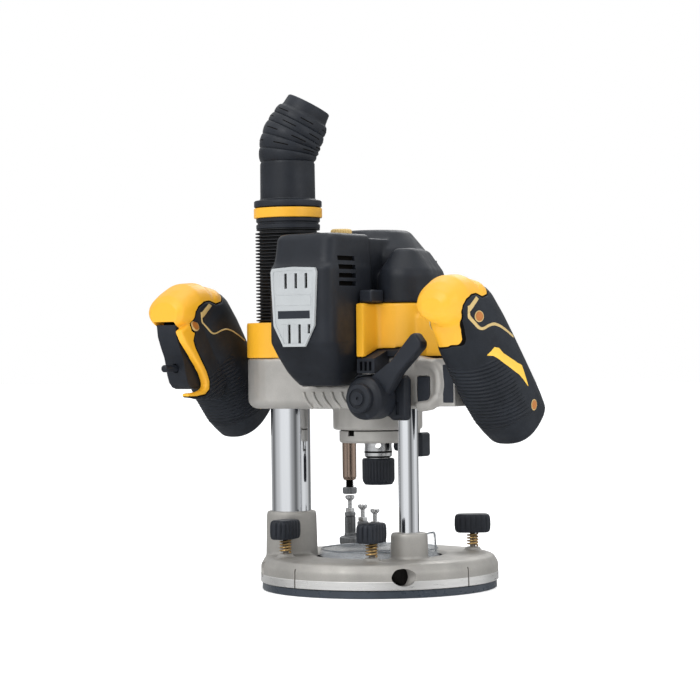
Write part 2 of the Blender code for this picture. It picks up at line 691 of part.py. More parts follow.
def terminal_block():
    """Battery dock on the back of the housing, with a rail on each side."""
    item = box((-24 * MM, 42.5 * MM, 196 * MM), (24 * MM, 54 * MM, 262 * MM))
    cut(item, box((-17 * MM, 49 * MM, 0.21), (17 * MM, 0.06, 0.27)))
    cut(item, box((-30 * MM, 46 * MM, 0.205), (-20.5 * MM, 50 * MM, 0.27)))
    cut(item, box((20.5 * MM, 46 * MM, 0.205), (30 * MM, 50 * MM, 0.27)))
    cut(item, rod(47.9 * MM, 0.19, COVER_TOP + GAP, sides=36))
    return finish(item, "terminal_block", (BLACK, 0.5))


def spindle_set():
    """Everything that turns with the motor."""
    shaft = turned([(0, 254 * MM), (4 * MM, 254 * MM), (4 * MM, 243 * MM), (6 * MM, 243 * MM),
                    (6 * MM, 143 * MM), (8.5 * MM, 143 * MM), (8.5 * MM, 127 * MM), (11 * MM, 127 * MM),
                    (11 * MM, 105.5 * MM), (9.2 * MM, 105.5 * MM), (9.2 * MM, 90 * MM), (6.9 * MM, 90 * MM),
                    (5.6 * MM, 112 * MM), (0, 112 * MM)], sides=16)
    finish(shaft, "spindle", (STEEL, 0.2, 1.0))
    rotor = ring(6.3 * MM, 20 * MM, 156 * MM, 218 * MM, sides=16)
    finish(rotor, "rotor", (STEEL, 0.5, 0.8))
    fan = ring(6.3 * MM, 11 * MM, 227 * MM, 240 * MM, sides=16)
    for i in range(9):
        angle = 2 * math.pi * i / 9
        blade = box((9 * MM, -0.9 * MM, 228 * MM), (34 * MM, 0.9 * MM, 239 * MM))
        blade.location = (21.5 * MM * math.cos(angle), 21.5 * MM * math.sin(angle), 233.5 * MM)
        blade.rotation_euler = (0, 0, angle)
        join(fan, blade)
    finish(fan, "fan", (BLACK, 0.5))
    collet = turned([(4.1 * MM, 105 * MM), (5.2 * MM, 105 * MM), (6.5 * MM, 89.6 * MM),
                     (7.6 * MM, 89.3 * MM), (7.6 * MM, 87 * MM), (4.1 * MM, 87 * MM)],
                    sides=16, closed=True)
    finish(collet, "collet", (STEEL, 0.3, 1.0))
    nut = turned([(9.5 * MM, 103 * MM), (12.4 * MM, 103 * MM), (13 * MM, 102 * MM), (13 * MM, 85 * MM),
                  (11 * MM, 82 * MM), (6.6 * MM, 82 * MM), (6.6 * MM, 86.7 * MM), (9.5 * MM, 86.7 * MM)],
                 sides=20, closed=True)
    finish(nut, "collet_nut", (BLACK, 0.5))


def spindle_lock():
    """Push button whose pin locks the spindle."""
    item = cross_rod(4 * MM, (15.2 * MM, 3 * MM, 113 * MM), (39 * MM, 3 * MM, 113 * MM), 16)
    cap = bevel(box((37.8 * MM, -4 * MM, 105 * MM), (44 * MM, 10 * MM, 124 * MM)), 1.5 * MM)
    join(item, cap)
    finish(item, "spindle_lock", (BLACK, 0.5))
    hang(pivot("spindle_lock_guide", (34.4 * MM, 3 * MM, 113 * MM)), item)


def lever_bracket():
    """Black block in front of the guide column that carries the plunge lock."""
    hub_x, hub_z = LEVER_AXIS
    item = bevel(box((33 * MM, -84 * MM, 138.7 * MM), (56 * MM, -53.6 * MM, 171 * MM)), 3 * MM)
    tongue = bevel(box((51 * MM, -62.3 * MM, 135.5 * MM), (69 * MM, -54.3 * MM, 170.2 * MM)), 2.5 * MM)
    join(item, tongue)
    cut(item, box((42 * MM, -0.10, 160 * MM), (70 * MM, -62.8 * MM, 0.18)))
    cut(item, cross_rod(17.3 * MM, (hub_x, -0.10, hub_z), (hub_x, -62.8 * MM, hub_z), 24))
    cut(item, cross_rod(3 * MM, (hub_x, -0.10, hub_z), (hub_x, -0.05, hub_z)))
    return finish(item, "lever_bracket", (BLACK, 0.5))


def lock_lever():
    hub_x, hub_z = LEVER_AXIS
    hub = turned([(3.3 * MM, 0), (16.5 * MM, 0), (16.5 * MM, -19 * MM), (12.5 * MM, -22 * MM),
                  (11 * MM, -22 * MM), (11 * MM, -26 * MM), (9.5 * MM, -28.5 * MM), (5.4 * MM, -28.5 * MM),
                  (5.4 * MM, -26.5 * MM), (3.3 * MM, -26.5 * MM)], sides=24, closed=True)
    hub.rotation_euler = (-math.pi / 2, 0, 0)
    hub.location = (hub_x, LEVER_FRONT + 28.7 * MM, hub_z)
    reach = LEVER_LENGTH
    outline = [(6 * MM, -9 * MM), (20 * MM, -8 * MM), (34 * MM, -6.2 * MM), (reach - 3 * MM, -6.8 * MM),
               (reach, -4 * MM), (reach + 1 * MM, 5 * MM), (reach - 2 * MM, 7 * MM), (34 * MM, 6 * MM),
               (16 * MM, 10 * MM), (6 * MM, 12 * MM)]
    arm = bevel(slab(outline, 0, 11 * MM), 1.8 * MM)
    turn = Matrix.Rotation(math.pi / 2, 4, "X")
    arm.matrix_world = (Matrix.Translation((hub_x, -66 * MM, hub_z)) @ Matrix.Rotation(-LEVER_RISE, 4, "Y")
                        @ turn @ Matrix.Translation((0, 0, 5.5 * MM)))
    join(hub, arm)
    cut(hub, cross_rod(3.3 * MM, (hub_x, -0.12, hub_z), (hub_x, -0.05, hub_z), 16))
    finish(hub, "lock_lever", (BLACK, 0.5))
    bolt = cross_rod(2.6 * MM, (hub_x, -91.6 * MM, hub_z), (hub_x, -54.5 * MM, hub_z), 12)
    join(bolt, cross_rod(5 * MM, (hub_x, -93.4 * MM, hub_z), (hub_x, -90.9 * MM, hub_z), 12))
    finish(bolt, "lever_bolt", (STEEL, 0.3, 1.0))
    hang(pivot("lever_pivot", (hub_x, LEVER_FRONT, hub_z)), hub, bolt)


# ---------------------------------------------------------------- depth rod

def depth_rod():
    rod_top = 235 * MM
    rod_body = turned([(0, rod_top), (DEPTH_R - 1 * MM, rod_top), (DEPTH_R, rod_top - 1 * MM),
                       (DEPTH_R, 81.6 * MM), (3.2 * MM, 81.6 * MM), (3.2 * MM, 75.8 * MM), (0, 75.8 * MM)],
                      DEPTH_AXIS, 16)
    finish(rod_body, "depth_rod", (BRONZE, 0.3, 0.9))
    foot = turned([(0, 75.4 * MM), (5.4 * MM, 75.4 * MM), (6 * MM, 74.8 * MM), (6 * MM, 70.4 * MM),
                   (5.4 * MM, 69.8 * MM), (0, 69.8 * MM)], DEPTH_AXIS, 16)
    finish(foot, "depth_foot", (STEEL, 0.5, 0.9))
    hang(pivot("depth_guide", (DEPTH_AXIS[0], DEPTH_AXIS[1], 81.6 * MM)), rod_body, foot)


def depth_clamp_knob():
    """Knob on the left of the casting that clamps the depth rod."""
    low = -90 * MM
    item = cross_rod(2.6 * MM, (-70.8 * MM, 52 * MM, 165 * MM), (low, 52 * MM, 165 * MM), 12)
    join(item, cross_rod(8.5 * MM, (-76.5 * MM, 52 * MM, 165 * MM), (-89 * MM, 52 * MM, 165 * MM), 16))
    finish(item, "depth_clamp_knob", (BLACK, 0.5))
    hang(pivot("depth_clamp_pivot", (-76 * MM, 52 * MM, 165 * MM)), item)


# ---------------------------------------------------------------- handles

def handle_ring(side, station, count=18):
    """Rounded section of a handle, square to its raked centre line."""
    (x, y, z), rake, half_x, half_n = station
    tilt = math.radians(rake)
    normal = Vector((0, math.cos(tilt), math.sin(tilt)))
    centre = Vector((side * x, y, z)) * MM
    points = []
    for i in range(count):
        angle = 2 * math.pi * i / count
        across = math.copysign(abs(math.cos(angle)) ** 0.8, math.cos(angle))
        along = math.copysign(abs(math.sin(angle)) ** 0.8, math.sin(angle))
        points.append(centre + Vector((half_x * MM * across, 0, 0)) + normal * (half_n * MM * along))
    return points


# Handle sections in millimetres: centre, rake in degrees, half width along X, half depth
GRIP_STATIONS = (((130, 2, 129.5), 40, 15, 19), ((130, -2, 134), 41, 20.5, 25.5),
                 ((129, -18, 150), 42, 23, 28.5), ((128, -34, 168), 41, 23.5, 29.5),
                 ((126.8, -47, 185), 39, 23.2, 29.5), ((126, -54.5, 195), 38, 23, 29))
CAP_STATIONS = (((126, -54.9, 195.5), 38, 23, 29), ((125, -63, 206), 38, 23, 28.5),
                ((124.6, -72, 218), 38, 22.5, 26), ((124.5, -80, 228), 38, 20, 21.5),
                ((124.5, -85, 235), 36, 13, 14))
BEAK_STATIONS = ((-80, 224, 21, 21.5), (-94, 226, 20, 18.5), (-106, 225, 17.5, 13.5), (-114, 222, 13, 8))
CORE_TOP = (125 * MM, -65 * MM, 208 * MM)
CORE_FOOT = (128.4 * MM, -28 * MM, 162 * MM)
ARM_END = 104 * MM


def mirrored(point, side):
    return (side * point[0], point[1], point[2])


def arm_clearance(side):
    """Notch in a handle for the arms of the casting and the cover."""
    low_x, high_x = sorted((side * 0.09, side * (ARM_END + 0.5 * MM)))
    front = -51 * MM if side > 0 else -33 * MM
    return box((low_x, front, 143 * MM), (high_x, -7 * MM, 218 * MM))


def handle_grip(side):
    item = loft([handle_ring(side, station) for station in GRIP_STATIONS])
    cut(item, cross_rod(10.4 * MM, mirrored(CORE_TOP, side), mirrored(CORE_FOOT, side)))
    cut(item, arm_clearance(side))
    if side < 0:
        cut(item, trigger_pocket())
    return finish(item, "grip_right" if side > 0 else "grip_left", (BLACK, 0.75))


def handle_cap(side):
    """Yellow head of a handle with its beak towards the front and a core that enters the grip."""
    item = loft([handle_ring(side, station) for station in CAP_STATIONS])
    beak = []
    for y, z, half_x, half_z in BEAK_STATIONS:
        points = []
        for i in range(18):
            angle = 2 * math.pi * i / 18
            x = side * CAP_STATIONS[-1][0][0] + half_x * math.cos(angle)
            points.append((x * MM, y * MM, (z + half_z * math.sin(angle)) * MM))
        beak.append(points)
    join(item, loft(beak))
    foot = Vector(CORE_TOP).lerp(Vector(CORE_FOOT), 0.97)
    join(item, cross_rod(10 * MM, mirrored(CORE_TOP, side), mirrored(foot, side)))
    cut(item, arm_clearance(side))
    if side < 0:
        cut(item, trigger_pocket())
    return finish(item, "handle_right" if side > 0 else "handle_left", (YELLOW, 0.45))


def yz_slab(points, low_x, high_x):
    """Outline given as (y, z) in millimetres, extruded along X."""
    low = [(low_x, y * MM, z * MM) for y, z in points]
    high = [(high_x, y * MM, z * MM) for y, z in points]
    return loft([low, high])


def trigger_pocket():
    points = [(-130, 207), (-130, 156), (-80, 156), (-68, 163), (-64, 175), (-72, 207)]
    return yz_slab(points, -TRIGGER_X - 10.5 * MM, -TRIGGER_X + 10.5 * MM)


def trigger():
    points = [(-114, 206), (-111, 198), (-99, 171), (-93, 163.5), (-84, 160.5), (-77, 163.5),
              (-73, 172), (-76, 206)]
    item = bevel(yz_slab(points, -TRIGGER_X - 9.5 * MM, -TRIGGER_X + 9.5 * MM), 1.8 * MM)
    height = 177 * MM
    cut(item, cross_rod(3.4 * MM, (-TRIGGER_X, -0.13, height), (-TRIGGER_X, -86 * MM, height)))
    finish(item, "trigger", (BLACK, 0.5))
    peg = cross_rod(3 * MM, (-TRIGGER_X, -FRONT_REACH, height), (-TRIGGER_X, -92 * MM, height), 12)
    finish(peg, "lock_off_button", (BLACK, 0.5))
    hang(pivot("trigger_pivot", (-TRIGGER_X, TRIGGER_HINGE[0], TRIGGER_HINGE[1])), item, peg)


def handle_switch():
    """Switch that the trigger presses."""
    item = box((-TRIGGER_X - 7 * MM, -71.3 * MM, 184 * MM), (-TRIGGER_X + 7 * MM, -69 * MM, 192 * MM))
    return finish(item, "handle_switch", (BLACK, 0.5))


def build_all():
    base_casting()
    sub_base()
    dust_column()
    guide_column()
    dust_shroud()
    for tag, spot in CLAMP_SPOTS.items():
        clamp_set(tag, spot)
    turret()
    bellows()
    column_collar()
    spout_ring()
    dust_spout()
    spring = coil(4.6 * MM, 0.7 * MM, 31.5 * MM, 262.5 * MM, 9, GUIDE_AXIS, 6)
    finish(spring, "plunge_spring", (STEEL, 0.4, 1.0))
    carriage_casting()
    yellow_cover()
    housing_half(-1)
    housing_half(1)
    speed_dial()
    front_grille()
    air_intake()
    nose_ring()
    bushings()
    motor_fixed_parts()
    terminal_block()
    spindle_set()
    spindle_lock()
    lever_bracket()
    lock_lever()
    depth_rod()
    depth_clamp_knob()
    for side in (-1, 1):
        handle_grip(side)
        handle_cap(side)
    trigger()
    handle_switch()


def centre_footprint():
    for item in list(PARTS.objects) + list(CUTTERS.objects):
        if item.parent is None:
            item.location.y += (FRONT_REACH - BASE_R) / 2


clear_scene()
PARTS = make_collection(COLLECTION)
CUTTERS = make_collection("cutters")
build_all()
centre_footprint()
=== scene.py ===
import json
import math
import bmesh
import bpy
from mathutils import Matrix, Vector
from mathutils.bvhtree import BVHTree

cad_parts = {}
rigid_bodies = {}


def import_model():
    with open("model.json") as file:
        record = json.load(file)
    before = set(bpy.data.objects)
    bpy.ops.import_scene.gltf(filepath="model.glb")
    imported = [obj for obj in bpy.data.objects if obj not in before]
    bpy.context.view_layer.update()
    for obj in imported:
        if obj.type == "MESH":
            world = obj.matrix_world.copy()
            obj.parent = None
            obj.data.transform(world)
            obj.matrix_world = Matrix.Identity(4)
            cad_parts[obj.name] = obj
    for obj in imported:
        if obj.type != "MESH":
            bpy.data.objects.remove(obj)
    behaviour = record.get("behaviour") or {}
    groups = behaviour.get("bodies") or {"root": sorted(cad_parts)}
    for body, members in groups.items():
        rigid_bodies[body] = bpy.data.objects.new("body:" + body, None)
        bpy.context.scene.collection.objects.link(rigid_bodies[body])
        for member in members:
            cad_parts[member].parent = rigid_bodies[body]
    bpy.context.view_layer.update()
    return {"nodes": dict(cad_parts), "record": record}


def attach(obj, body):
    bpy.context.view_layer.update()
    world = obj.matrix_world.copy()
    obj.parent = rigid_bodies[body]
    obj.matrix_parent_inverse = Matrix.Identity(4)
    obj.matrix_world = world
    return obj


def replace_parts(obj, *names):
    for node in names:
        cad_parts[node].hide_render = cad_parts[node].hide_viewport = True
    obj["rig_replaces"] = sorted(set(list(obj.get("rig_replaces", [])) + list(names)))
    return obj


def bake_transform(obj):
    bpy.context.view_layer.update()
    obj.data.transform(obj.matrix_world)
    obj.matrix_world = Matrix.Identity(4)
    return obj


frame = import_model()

NODES = frame["nodes"]
BODY = {node: body for body, names in frame["record"]["behaviour"]["bodies"].items() for node in names}
SLOT = {row["node"]: row["material_slot"] for row in frame["record"]["subparts"]}
SPINDLE_Y = 11.0
VIEW_TURN = math.radians(34.5)
VIEW_RIGHT = Vector((math.cos(VIEW_TURN), math.sin(VIEW_TURN), 0))
VIEW_BACK = Vector((math.sin(VIEW_TURN), -math.cos(VIEW_TURN), 0))


# ---- materials

def dot_with(nodes, links, source, direction):
    """Node output with the dot product of a coordinate and a fixed direction."""
    node = nodes.new("ShaderNodeVectorMath")
    node.operation = "DOT_PRODUCT"
    node.inputs[1].default_value = direction
    links.new(source, node.inputs[0])
    return node.outputs["Value"]


def maths_node(nodes, links, operation, *items):
    """Node output of a maths operation on numbers and other outputs."""
    node = nodes.new("ShaderNodeMath")
    node.operation = operation
    for socket, item in zip(node.inputs, items):
        if isinstance(item, (int, float)):
            socket.default_value = item
        else:
            links.new(item, socket)
    return node.outputs["Value"]


def range_node(nodes, links, value, low, high, at_low, at_high, curve="LINEAR"):
    """Node output that carries a value from one range into another."""
    node = nodes.new("ShaderNodeMapRange")
    node.interpolation_type = curve
    for name, number in (("From Min", low), ("From Max", high), ("To Min", at_low), ("To Max", at_high)):
        node.inputs[name].default_value = number
    links.new(value, node.inputs["Value"])
    return node.outputs["Result"]


def surface(name, color, rough, metal=0.0, blotch=0.08, blotch_scale=60, grain=900, bump=0.05,
            stretch=(1, 1, 1), rough_swing=0.08, coat=0.0, edge=0.0, specular=0.5):
    """Principled surface whose colour, roughness and height vary with procedural noise."""
    mat = bpy.data.materials.new(name)
    mat.use_nodes = True
    nodes, links = mat.node_tree.nodes, mat.node_tree.links
    shader = nodes["Principled BSDF"]
    shader.inputs["Metallic"].default_value = metal
    shader.inputs["Coat Weight"].default_value = coat
    shader.inputs["Coat Roughness"].default_value = 0.25
    shader.inputs["Specular IOR Level"].default_value = specular
    coords = nodes.new("ShaderNodeTexCoord")
    mapping = nodes.new("ShaderNodeMapping")
    mapping.inputs["Scale"].default_value = stretch
    links.new(coords.outputs["Object"], mapping.inputs["Vector"])

    def noise(scale, detail):
        node = nodes.new("ShaderNodeTexNoise")
        node.inputs["Scale"].default_value = scale
        node.inputs["Detail"].default_value = detail
        links.new(mapping.outputs["Vector"], node.inputs["Vector"])
        return node.outputs["Fac"]

    def ranged(value, low, high):
        return range_node(nodes, links, value, 0.3, 0.7, low, high)

    def shade(factor, tone):
        mix = nodes.new("ShaderNodeMix")
        mix.data_type = "RGBA"
        mix.blend_type = "MULTIPLY"
        mix.inputs["Factor"].default_value = 1.0
        links.new(factor, mix.inputs["B"])
        if isinstance(tone, tuple):
            mix.inputs["A"].default_value = (*tone, 1)
        else:
            links.new(tone, mix.inputs["A"])
        return mix.outputs["Result"]

    tone = shade(ranged(noise(blotch_scale, 4), 1 - blotch, 1 + blotch), tuple(color))
    fine = noise(grain, 3)
    tone = shade(ranged(fine, 1 - blotch / 2, 1 + blotch / 2), tone)
    if edge:
        # Colour lifted on sharp convex edges, by up to the factor 1 + edge.
        geometry = nodes.new("ShaderNodeNewGeometry")
        edge_lift = range_node(nodes, links, geometry.outputs["Pointiness"], 0.5, 0.62, 1.0, 1.0 + edge)
        tone = shade(edge_lift, tone)
    links.new(tone, shader.inputs["Base Color"])
    links.new(ranged(noise(blotch_scale * 2.3, 3), rough - rough_swing, rough + rough_swing),
              shader.inputs["Roughness"])
    height = nodes.new("ShaderNodeBump")
    height.inputs["Strength"].default_value = bump
    height.inputs["Distance"].default_value = 0.0004
    links.new(fine, height.inputs["Height"])
    links.new(height.outputs["Normal"], shader.inputs["Normal"])
    return mat


def clear_plastic(name):
    mat = surface(name, (0.72, 0.75, 0.78), 0.1, bump=0.02, rough_swing=0.04)
    shader = mat.node_tree.nodes["Principled BSDF"]
    shader.inputs["Alpha"].default_value = 0.3
    return mat


MAT = {
    "cast_base": surface("cast_base", (0.40, 0.385, 0.36), 0.52, 0.55, 0.10, 45, 1300, 0.35, edge=0.35),
    "machined": surface("machined_rim", (0.80, 0.79, 0.77), 0.34, 0.8, 0.05, 40, 500, 0.08, (1, 1, 12)),
    "cast_body": surface("cast_body", (0.47, 0.455, 0.43), 0.48, 0.55, 0.09, 50, 1300, 0.3, edge=0.3),
    "sole_plastic": surface("sole_plastic", (0.035, 0.045, 0.06), 0.3, 0, 0.1, 70, 700, 0.04),
    "chrome_tube": surface("chrome_tube", (0.80, 0.81, 0.83), 0.09, 1.0, 0.04, 30, 200, 0.02, (1, 1, 0.05),
                           0.03),
    "clear_plastic": clear_plastic("clear_plastic"),
    "clear_edge": surface("clear_edge", (0.16, 0.18, 0.2), 0.15, 0, 0.1, 60, 700, 0.03, coat=0.5),
    "black_plastic": surface("black_plastic", (0.013, 0.0155, 0.021), 0.44, 0, 0.15, 60, 1500, 0.16, edge=0.8,
                             specular=0.3),
    "yellow_plastic": surface("yellow_plastic", (0.88, 0.445, 0.025), 0.4, 0, 0.04, 35, 1500, 0.08),
    "grip_rubber": surface("grip_rubber", (0.015, 0.0185, 0.025), 0.6, 0, 0.18, 60, 2200, 0.3),
    # Near-black: the dark of real seams and joints, and painted shade in gaps, grooves, bores and behind
    # openings.
    "seam": surface("seam", (0.004, 0.0035, 0.003), 0.7, 0, 0.1, 60, 1500, 0.05, specular=0.06),
    "accent": surface("accent", (0.58, 0.42, 0.17), 0.4, 0, 0.06, 60, 1500, 0.06),
    "badge": surface("badge", (0.90, 0.55, 0.06), 0.4, 0, 0.05, 60, 1500, 0.06),
    "plug": surface("plug", (0.45, 0.16, 0.03), 0.45, 0, 0.12, 90, 1500, 0.1),
    "bellows_rubber": surface("bellows_rubber", (0.009, 0.01, 0.012), 0.42, 0, 0.15, 50, 1200, 0.1,
                              specular=0.35),
    "grille_plastic": surface("grille_plastic", (0.43, 0.45, 0.46), 0.45, 0, 0.06, 50, 1500, 0.12),
    "dial_plastic": surface("dial_plastic", (0.62, 0.44, 0.17), 0.45, 0, 0.08, 60, 1500, 0.1),
    "steel": surface("steel", (0.58, 0.58, 0.58), 0.2, 1.0, 0.1, 50, 500, 0.08, (1, 1, 6)),
    "brass": surface("brass", (0.55, 0.36, 0.15), 0.32, 1.0, 0.12, 60, 600, 0.1, (1, 1, 5)),
    "steel_grey": surface("steel_grey", (0.20, 0.205, 0.21), 0.34, 0.85, 0.12, 50, 500, 0.15, edge=0.5),
    "bronze": surface("bronze", (0.36, 0.265, 0.21), 0.24, 0.95, 0.08, 50, 300, 0.03, (1, 1, 0.05)),
    "stator_iron": surface("stator_iron", (0.2, 0.2, 0.21), 0.5, 0.8, 0.1, 60, 400, 0.2, (1, 1, 20)),
}


GRIP_SIN, GRIP_COS = 0.656, 0.755
RIDGE_PITCH = 3.4
RIDGE_SLANT = 0.3


def ribbed_grip():
    """Grip rubber whose bump sharpens the moulded ridges and adds the seam above the foot of the grip."""
    mat = surface("grip_ribbed", (0.015, 0.0185, 0.025), 0.52, 0, 0.18, 60, 2200, 0.25, specular=0.3)
    nodes, links = mat.node_tree.nodes, mat.node_tree.links
    coords = nodes.new("ShaderNodeTexCoord")

    def dot(direction):
        return dot_with(nodes, links, coords.outputs["Object"], direction)

    def ramp(value, low, high, at_low, at_high):
        return range_node(nodes, links, value, low, high, at_low, at_high, "SMOOTHSTEP")

    def maths(operation, *items):
        return maths_node(nodes, links, operation, *items)

    run, depth = dot((0, -GRIP_SIN, GRIP_COS)), dot((0, GRIP_COS, GRIP_SIN))
    phase = maths("ADD", run, maths("MULTIPLY", depth, RIDGE_SLANT))
    wave = maths("SINE", maths("MULTIPLY", phase, 2 * math.pi / RIDGE_PITCH * 1000))
    mask = maths("MULTIPLY", ramp(depth, 0.084, 0.089, 1, 0), ramp(run, 0.112, 0.116, 0, 1))
    mask = maths("MULTIPLY", mask, ramp(run, 0.170, 0.176, 1, 0))
    # Distance from the seam line above the grip's foot, cut in as a bump groove.
    seam = maths("ABSOLUTE", maths("SUBTRACT", phase, 0.1375))
    ridges = maths("SUBTRACT", maths("MULTIPLY", wave, mask), ramp(seam, 0.0003, 0.0009, 2, 0))
    bump = nodes.new("ShaderNodeBump")
    bump.inputs["Strength"].default_value = 1.0
    bump.inputs["Distance"].default_value = 0.0004
    links.new(ridges, bump.inputs["Height"])
    shader = nodes["Principled BSDF"]
    fine = shader.inputs["Normal"].links[0].from_node
    links.new(bump.outputs["Normal"], fine.inputs["Normal"])
    return mat


MAT["grip_ribbed"] = ribbed_grip()


# ---- pieces

def linked(name, mesh):
    """Object with this mesh, in the scene."""
    obj = bpy.data.objects.new(name, mesh)
    bpy.context.scene.collection.objects.link(obj)
    return obj


def mesh_from(bm, name):
    """Mesh from a bmesh, which is freed."""
    mesh = bpy.data.meshes.new(name)
    bm.to_mesh(mesh)
    bm.free()
    return mesh


def evaluated(obj):
    """Bmesh of an object with its modifiers applied."""
    graph = bpy.context.evaluated_depsgraph_get()
    bm = bmesh.new()
    bm.from_mesh(obj.evaluated_get(graph).to_mesh())
    return bm


def discard(obj):
    mesh = obj.data
    bpy.data.objects.remove(obj)
    bpy.data.meshes.remove(mesh)


def place(obj, material, body, nodes=()):
    """Gives a piece its material, the body it rides on and the CAD nodes it takes the place of."""
    obj.data.materials.append(MAT[material])
    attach(obj, body)
    if nodes:
        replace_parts(obj, *nodes)


SHARP = 32


def soften(obj, width, segments=2, angle=SHARP):
    """Rounds the sharp edges by width millimetres and shades the rest smooth."""
    if width:
        modifier = obj.modifiers.new("Bevel", "BEVEL")
        modifier.width = width / 1000
        modifier.segments = segments
        modifier.limit_method = "ANGLE"
        modifier.angle_limit = math.radians(angle)
        modifier.miter_outer = "MITER_ARC"
    mesh = obj.data
    for polygon in mesh.polygons:
        polygon.use_smooth = True
    normals = obj.modifiers.new("Normals", "WEIGHTED_NORMAL")
    normals.keep_sharp = True
    normals.weight = 80


def refine(node):
    """A softened copy of a CAD node, with its coplanar triangles merged back into faces."""
    bm = bmesh.new()
    bm.from_mesh(NODES[node].data)
    bmesh.ops.remove_doubles(bm, verts=bm.verts, dist=0.00002)
    bmesh.ops.dissolve_limit(bm, angle_limit=math.radians(0.8), verts=bm.verts, edges=bm.edges)
    bmesh.ops.recalc_face_normals(bm, faces=bm.faces)
    obj = linked(node + "_look", mesh_from(bm, node + "_look"))
    obj.data.set_sharp_from_angle(angle=math.radians(SHARP))
    place(obj, SLOT[node], BODY[node], (node,))
    soften(obj, 0.5)


# ---- shape helpers, in millimetres

FAR = 400


def vec(*numbers):
    return Vector(numbers)


def angles(count, start=0.0):
    """Angles at even spacing around a full turn."""
    return [start + 2 * math.pi * k / count for k in range(count)]


def clamped(value):
    return max(0.0, min(1.0, value))


def rounded_power(number, power):
    """Power of a number that keeps its sign, for squarish ovals."""
    return math.copysign(abs(number) ** power, number)


def shifted(bm, name):
    """Mesh in metres at its place in the frame, from one in millimetres around the spindle axis."""
    mesh = mesh_from(bm, name)
    mesh.transform(Matrix.Scale(0.001, 4) @ Matrix.Translation((0, SPINDLE_Y, 0)))
    return mesh


def solid(name, bm, material, body, nodes=(), width=0.0, segments=2, angle=SHARP):
    """A piece from a mesh drawn in millimetres around the spindle axis."""
    bmesh.ops.remove_doubles(bm, verts=bm.verts, dist=0.004)
    bmesh.ops.recalc_face_normals(bm, faces=bm.faces)
    obj = linked(name, shifted(bm, name))
    obj.data.set_sharp_from_angle(angle=math.radians(angle))
    place(obj, material, body, nodes)
    soften(obj, width, segments, angle)
    return obj


def loft(rings, closed=False):
    """Skin over rings of equal count, with capped ends unless the last ring joins the first."""
    bm = bmesh.new()
    rows = [[bm.verts.new(p) for p in ring] for ring in rings]
    count = len(rings[0])
    pairs = list(zip(rows, rows[1:])) + ([(rows[-1], rows[0])] if closed else [])
    for low, high in pairs:
        for i in range(count):
            j = (i + 1) % count
            bm.faces.new((low[i], low[j], high[j], high[i]))
    if not closed:
        bm.faces.new(rows[0])
        bm.faces.new(rows[-1])
    return bm


def rounded(points, radius, closed=False):
    """Profile with each corner replaced by a short arc; a third number sets a corner's own radius."""
    result = []
    count = len(points)
    for i, point in enumerate(points):
        here = Vector(point[:2])
        if not closed and i in (0, count - 1):
            result.append(here)
            continue
        before = Vector(points[i - 1][:2]) - here
        after = Vector(points[(i + 1) % count][:2]) - here
        own = point[2] if len(point) > 2 else radius
        turn = math.pi - before.angle(after)
        if own < 0.01 or turn < math.radians(12):
            result.append(here)
            continue
        back = min(own * math.tan(turn / 2), 0.48 * before.length, 0.48 * after.length)
        start, end = here + before.normalized() * back, here + after.normalized() * back
        steps = 2 if own < 1 else 4
        for k in range(steps + 1):
            t = k / steps
            result.append(start * (1 - t) ** 2 + here * 2 * t * (1 - t) + end * t * t)
    return result


def lathe(profile, at=(0, 0), steps=64, closed=False, corner=0.4):
    """Profile of (radius, height) turned around an upright axis."""
    rings = []
    for radius, height in rounded(profile, corner, closed):
        r = max(radius, 0.001)
        rings.append([vec(at[0] + r * math.cos(a), at[1] + r * math.sin(a), height) for a in angles(steps)])
    return loft(rings, closed)


def along(start, end):
    """Matrix that turns +Z at the origin into the direction from start to end, at start."""
    start, end = Vector(start), Vector(end)
    return Matrix.Translation(start) @ (end - start).to_track_quat("Z", "Y").to_matrix().to_4x4()


def turned_along(start, end, profile, steps=40, closed=False):
    """Turned shape whose axis starts at start and points to end."""
    bm = lathe(profile, steps=steps, closed=closed, corner=0.3)
    bm.transform(along(start, end))
    return bm


def rod(start, end, radius, steps=40):
    """Plain round bar from start to end."""
    length = (Vector(end) - Vector(start)).length
    return turned_along(start, end, [(0, 0), (radius, 0), (radius, length), (0, length)], steps)


def block(low, high):
    x0, y0, z0 = low
    x1, y1, z1 = high
    return loft([[vec(x0, y0, z), vec(x1, y0, z), vec(x1, y1, z), vec(x0, y1, z)] for z in (z0, z1)])


def merge(*meshes):
    bm = meshes[0]
    for other in meshes[1:]:
        mesh = mesh_from(other, "part")
        bm.from_mesh(mesh)
        bpy.data.meshes.remove(mesh)
    return bm


def combine(base, tools, solver="EXACT"):
    """Base shape with the tools cut out of it."""
    made = []
    for bm in [base] + tools:
        bmesh.ops.recalc_face_normals(bm, faces=bm.faces)
        made.append(linked("shape", mesh_from(bm, "shape")))
    for tool in made[1:]:
        modifier = made[0].modifiers.new("Boolean", "BOOLEAN")
        modifier.object = tool
        modifier.operation = "DIFFERENCE"
        modifier.solver = solver
    result = evaluated(made[0])
    for obj in made:
        discard(obj)
    return result


def tube(points, radius, sides=8):
    """Round bar along a smooth path."""
    rings = []
    count = len(points)
    up = vec(0, 0, 1)
    for i, point in enumerate(points):
        ahead = (points[min(i + 1, count - 1)] - points[max(i - 1, 0)]).normalized()
        side = ahead.cross(up if abs(ahead.z) < 0.95 else vec(1, 0, 0)).normalized()
        over = side.cross(ahead).normalized()
        rings.append([point + (side * math.cos(a) + over * math.sin(a)) * radius for a in angles(sides)])
    return loft(rings)


def coil(radius, wire, low, high, turns, at):
    """Helical spring around an upright axis."""
    per_turn = 28
    count = int(turns * per_turn)
    points = []
    for i in range(count + 1):
        a = 2 * math.pi * i / per_turn
        points.append(vec(at[0] + radius * math.cos(a), at[1] + radius * math.sin(a),
                          low + wire + (high - low - 2 * wire) * i / count))
    return tube(points, wire)


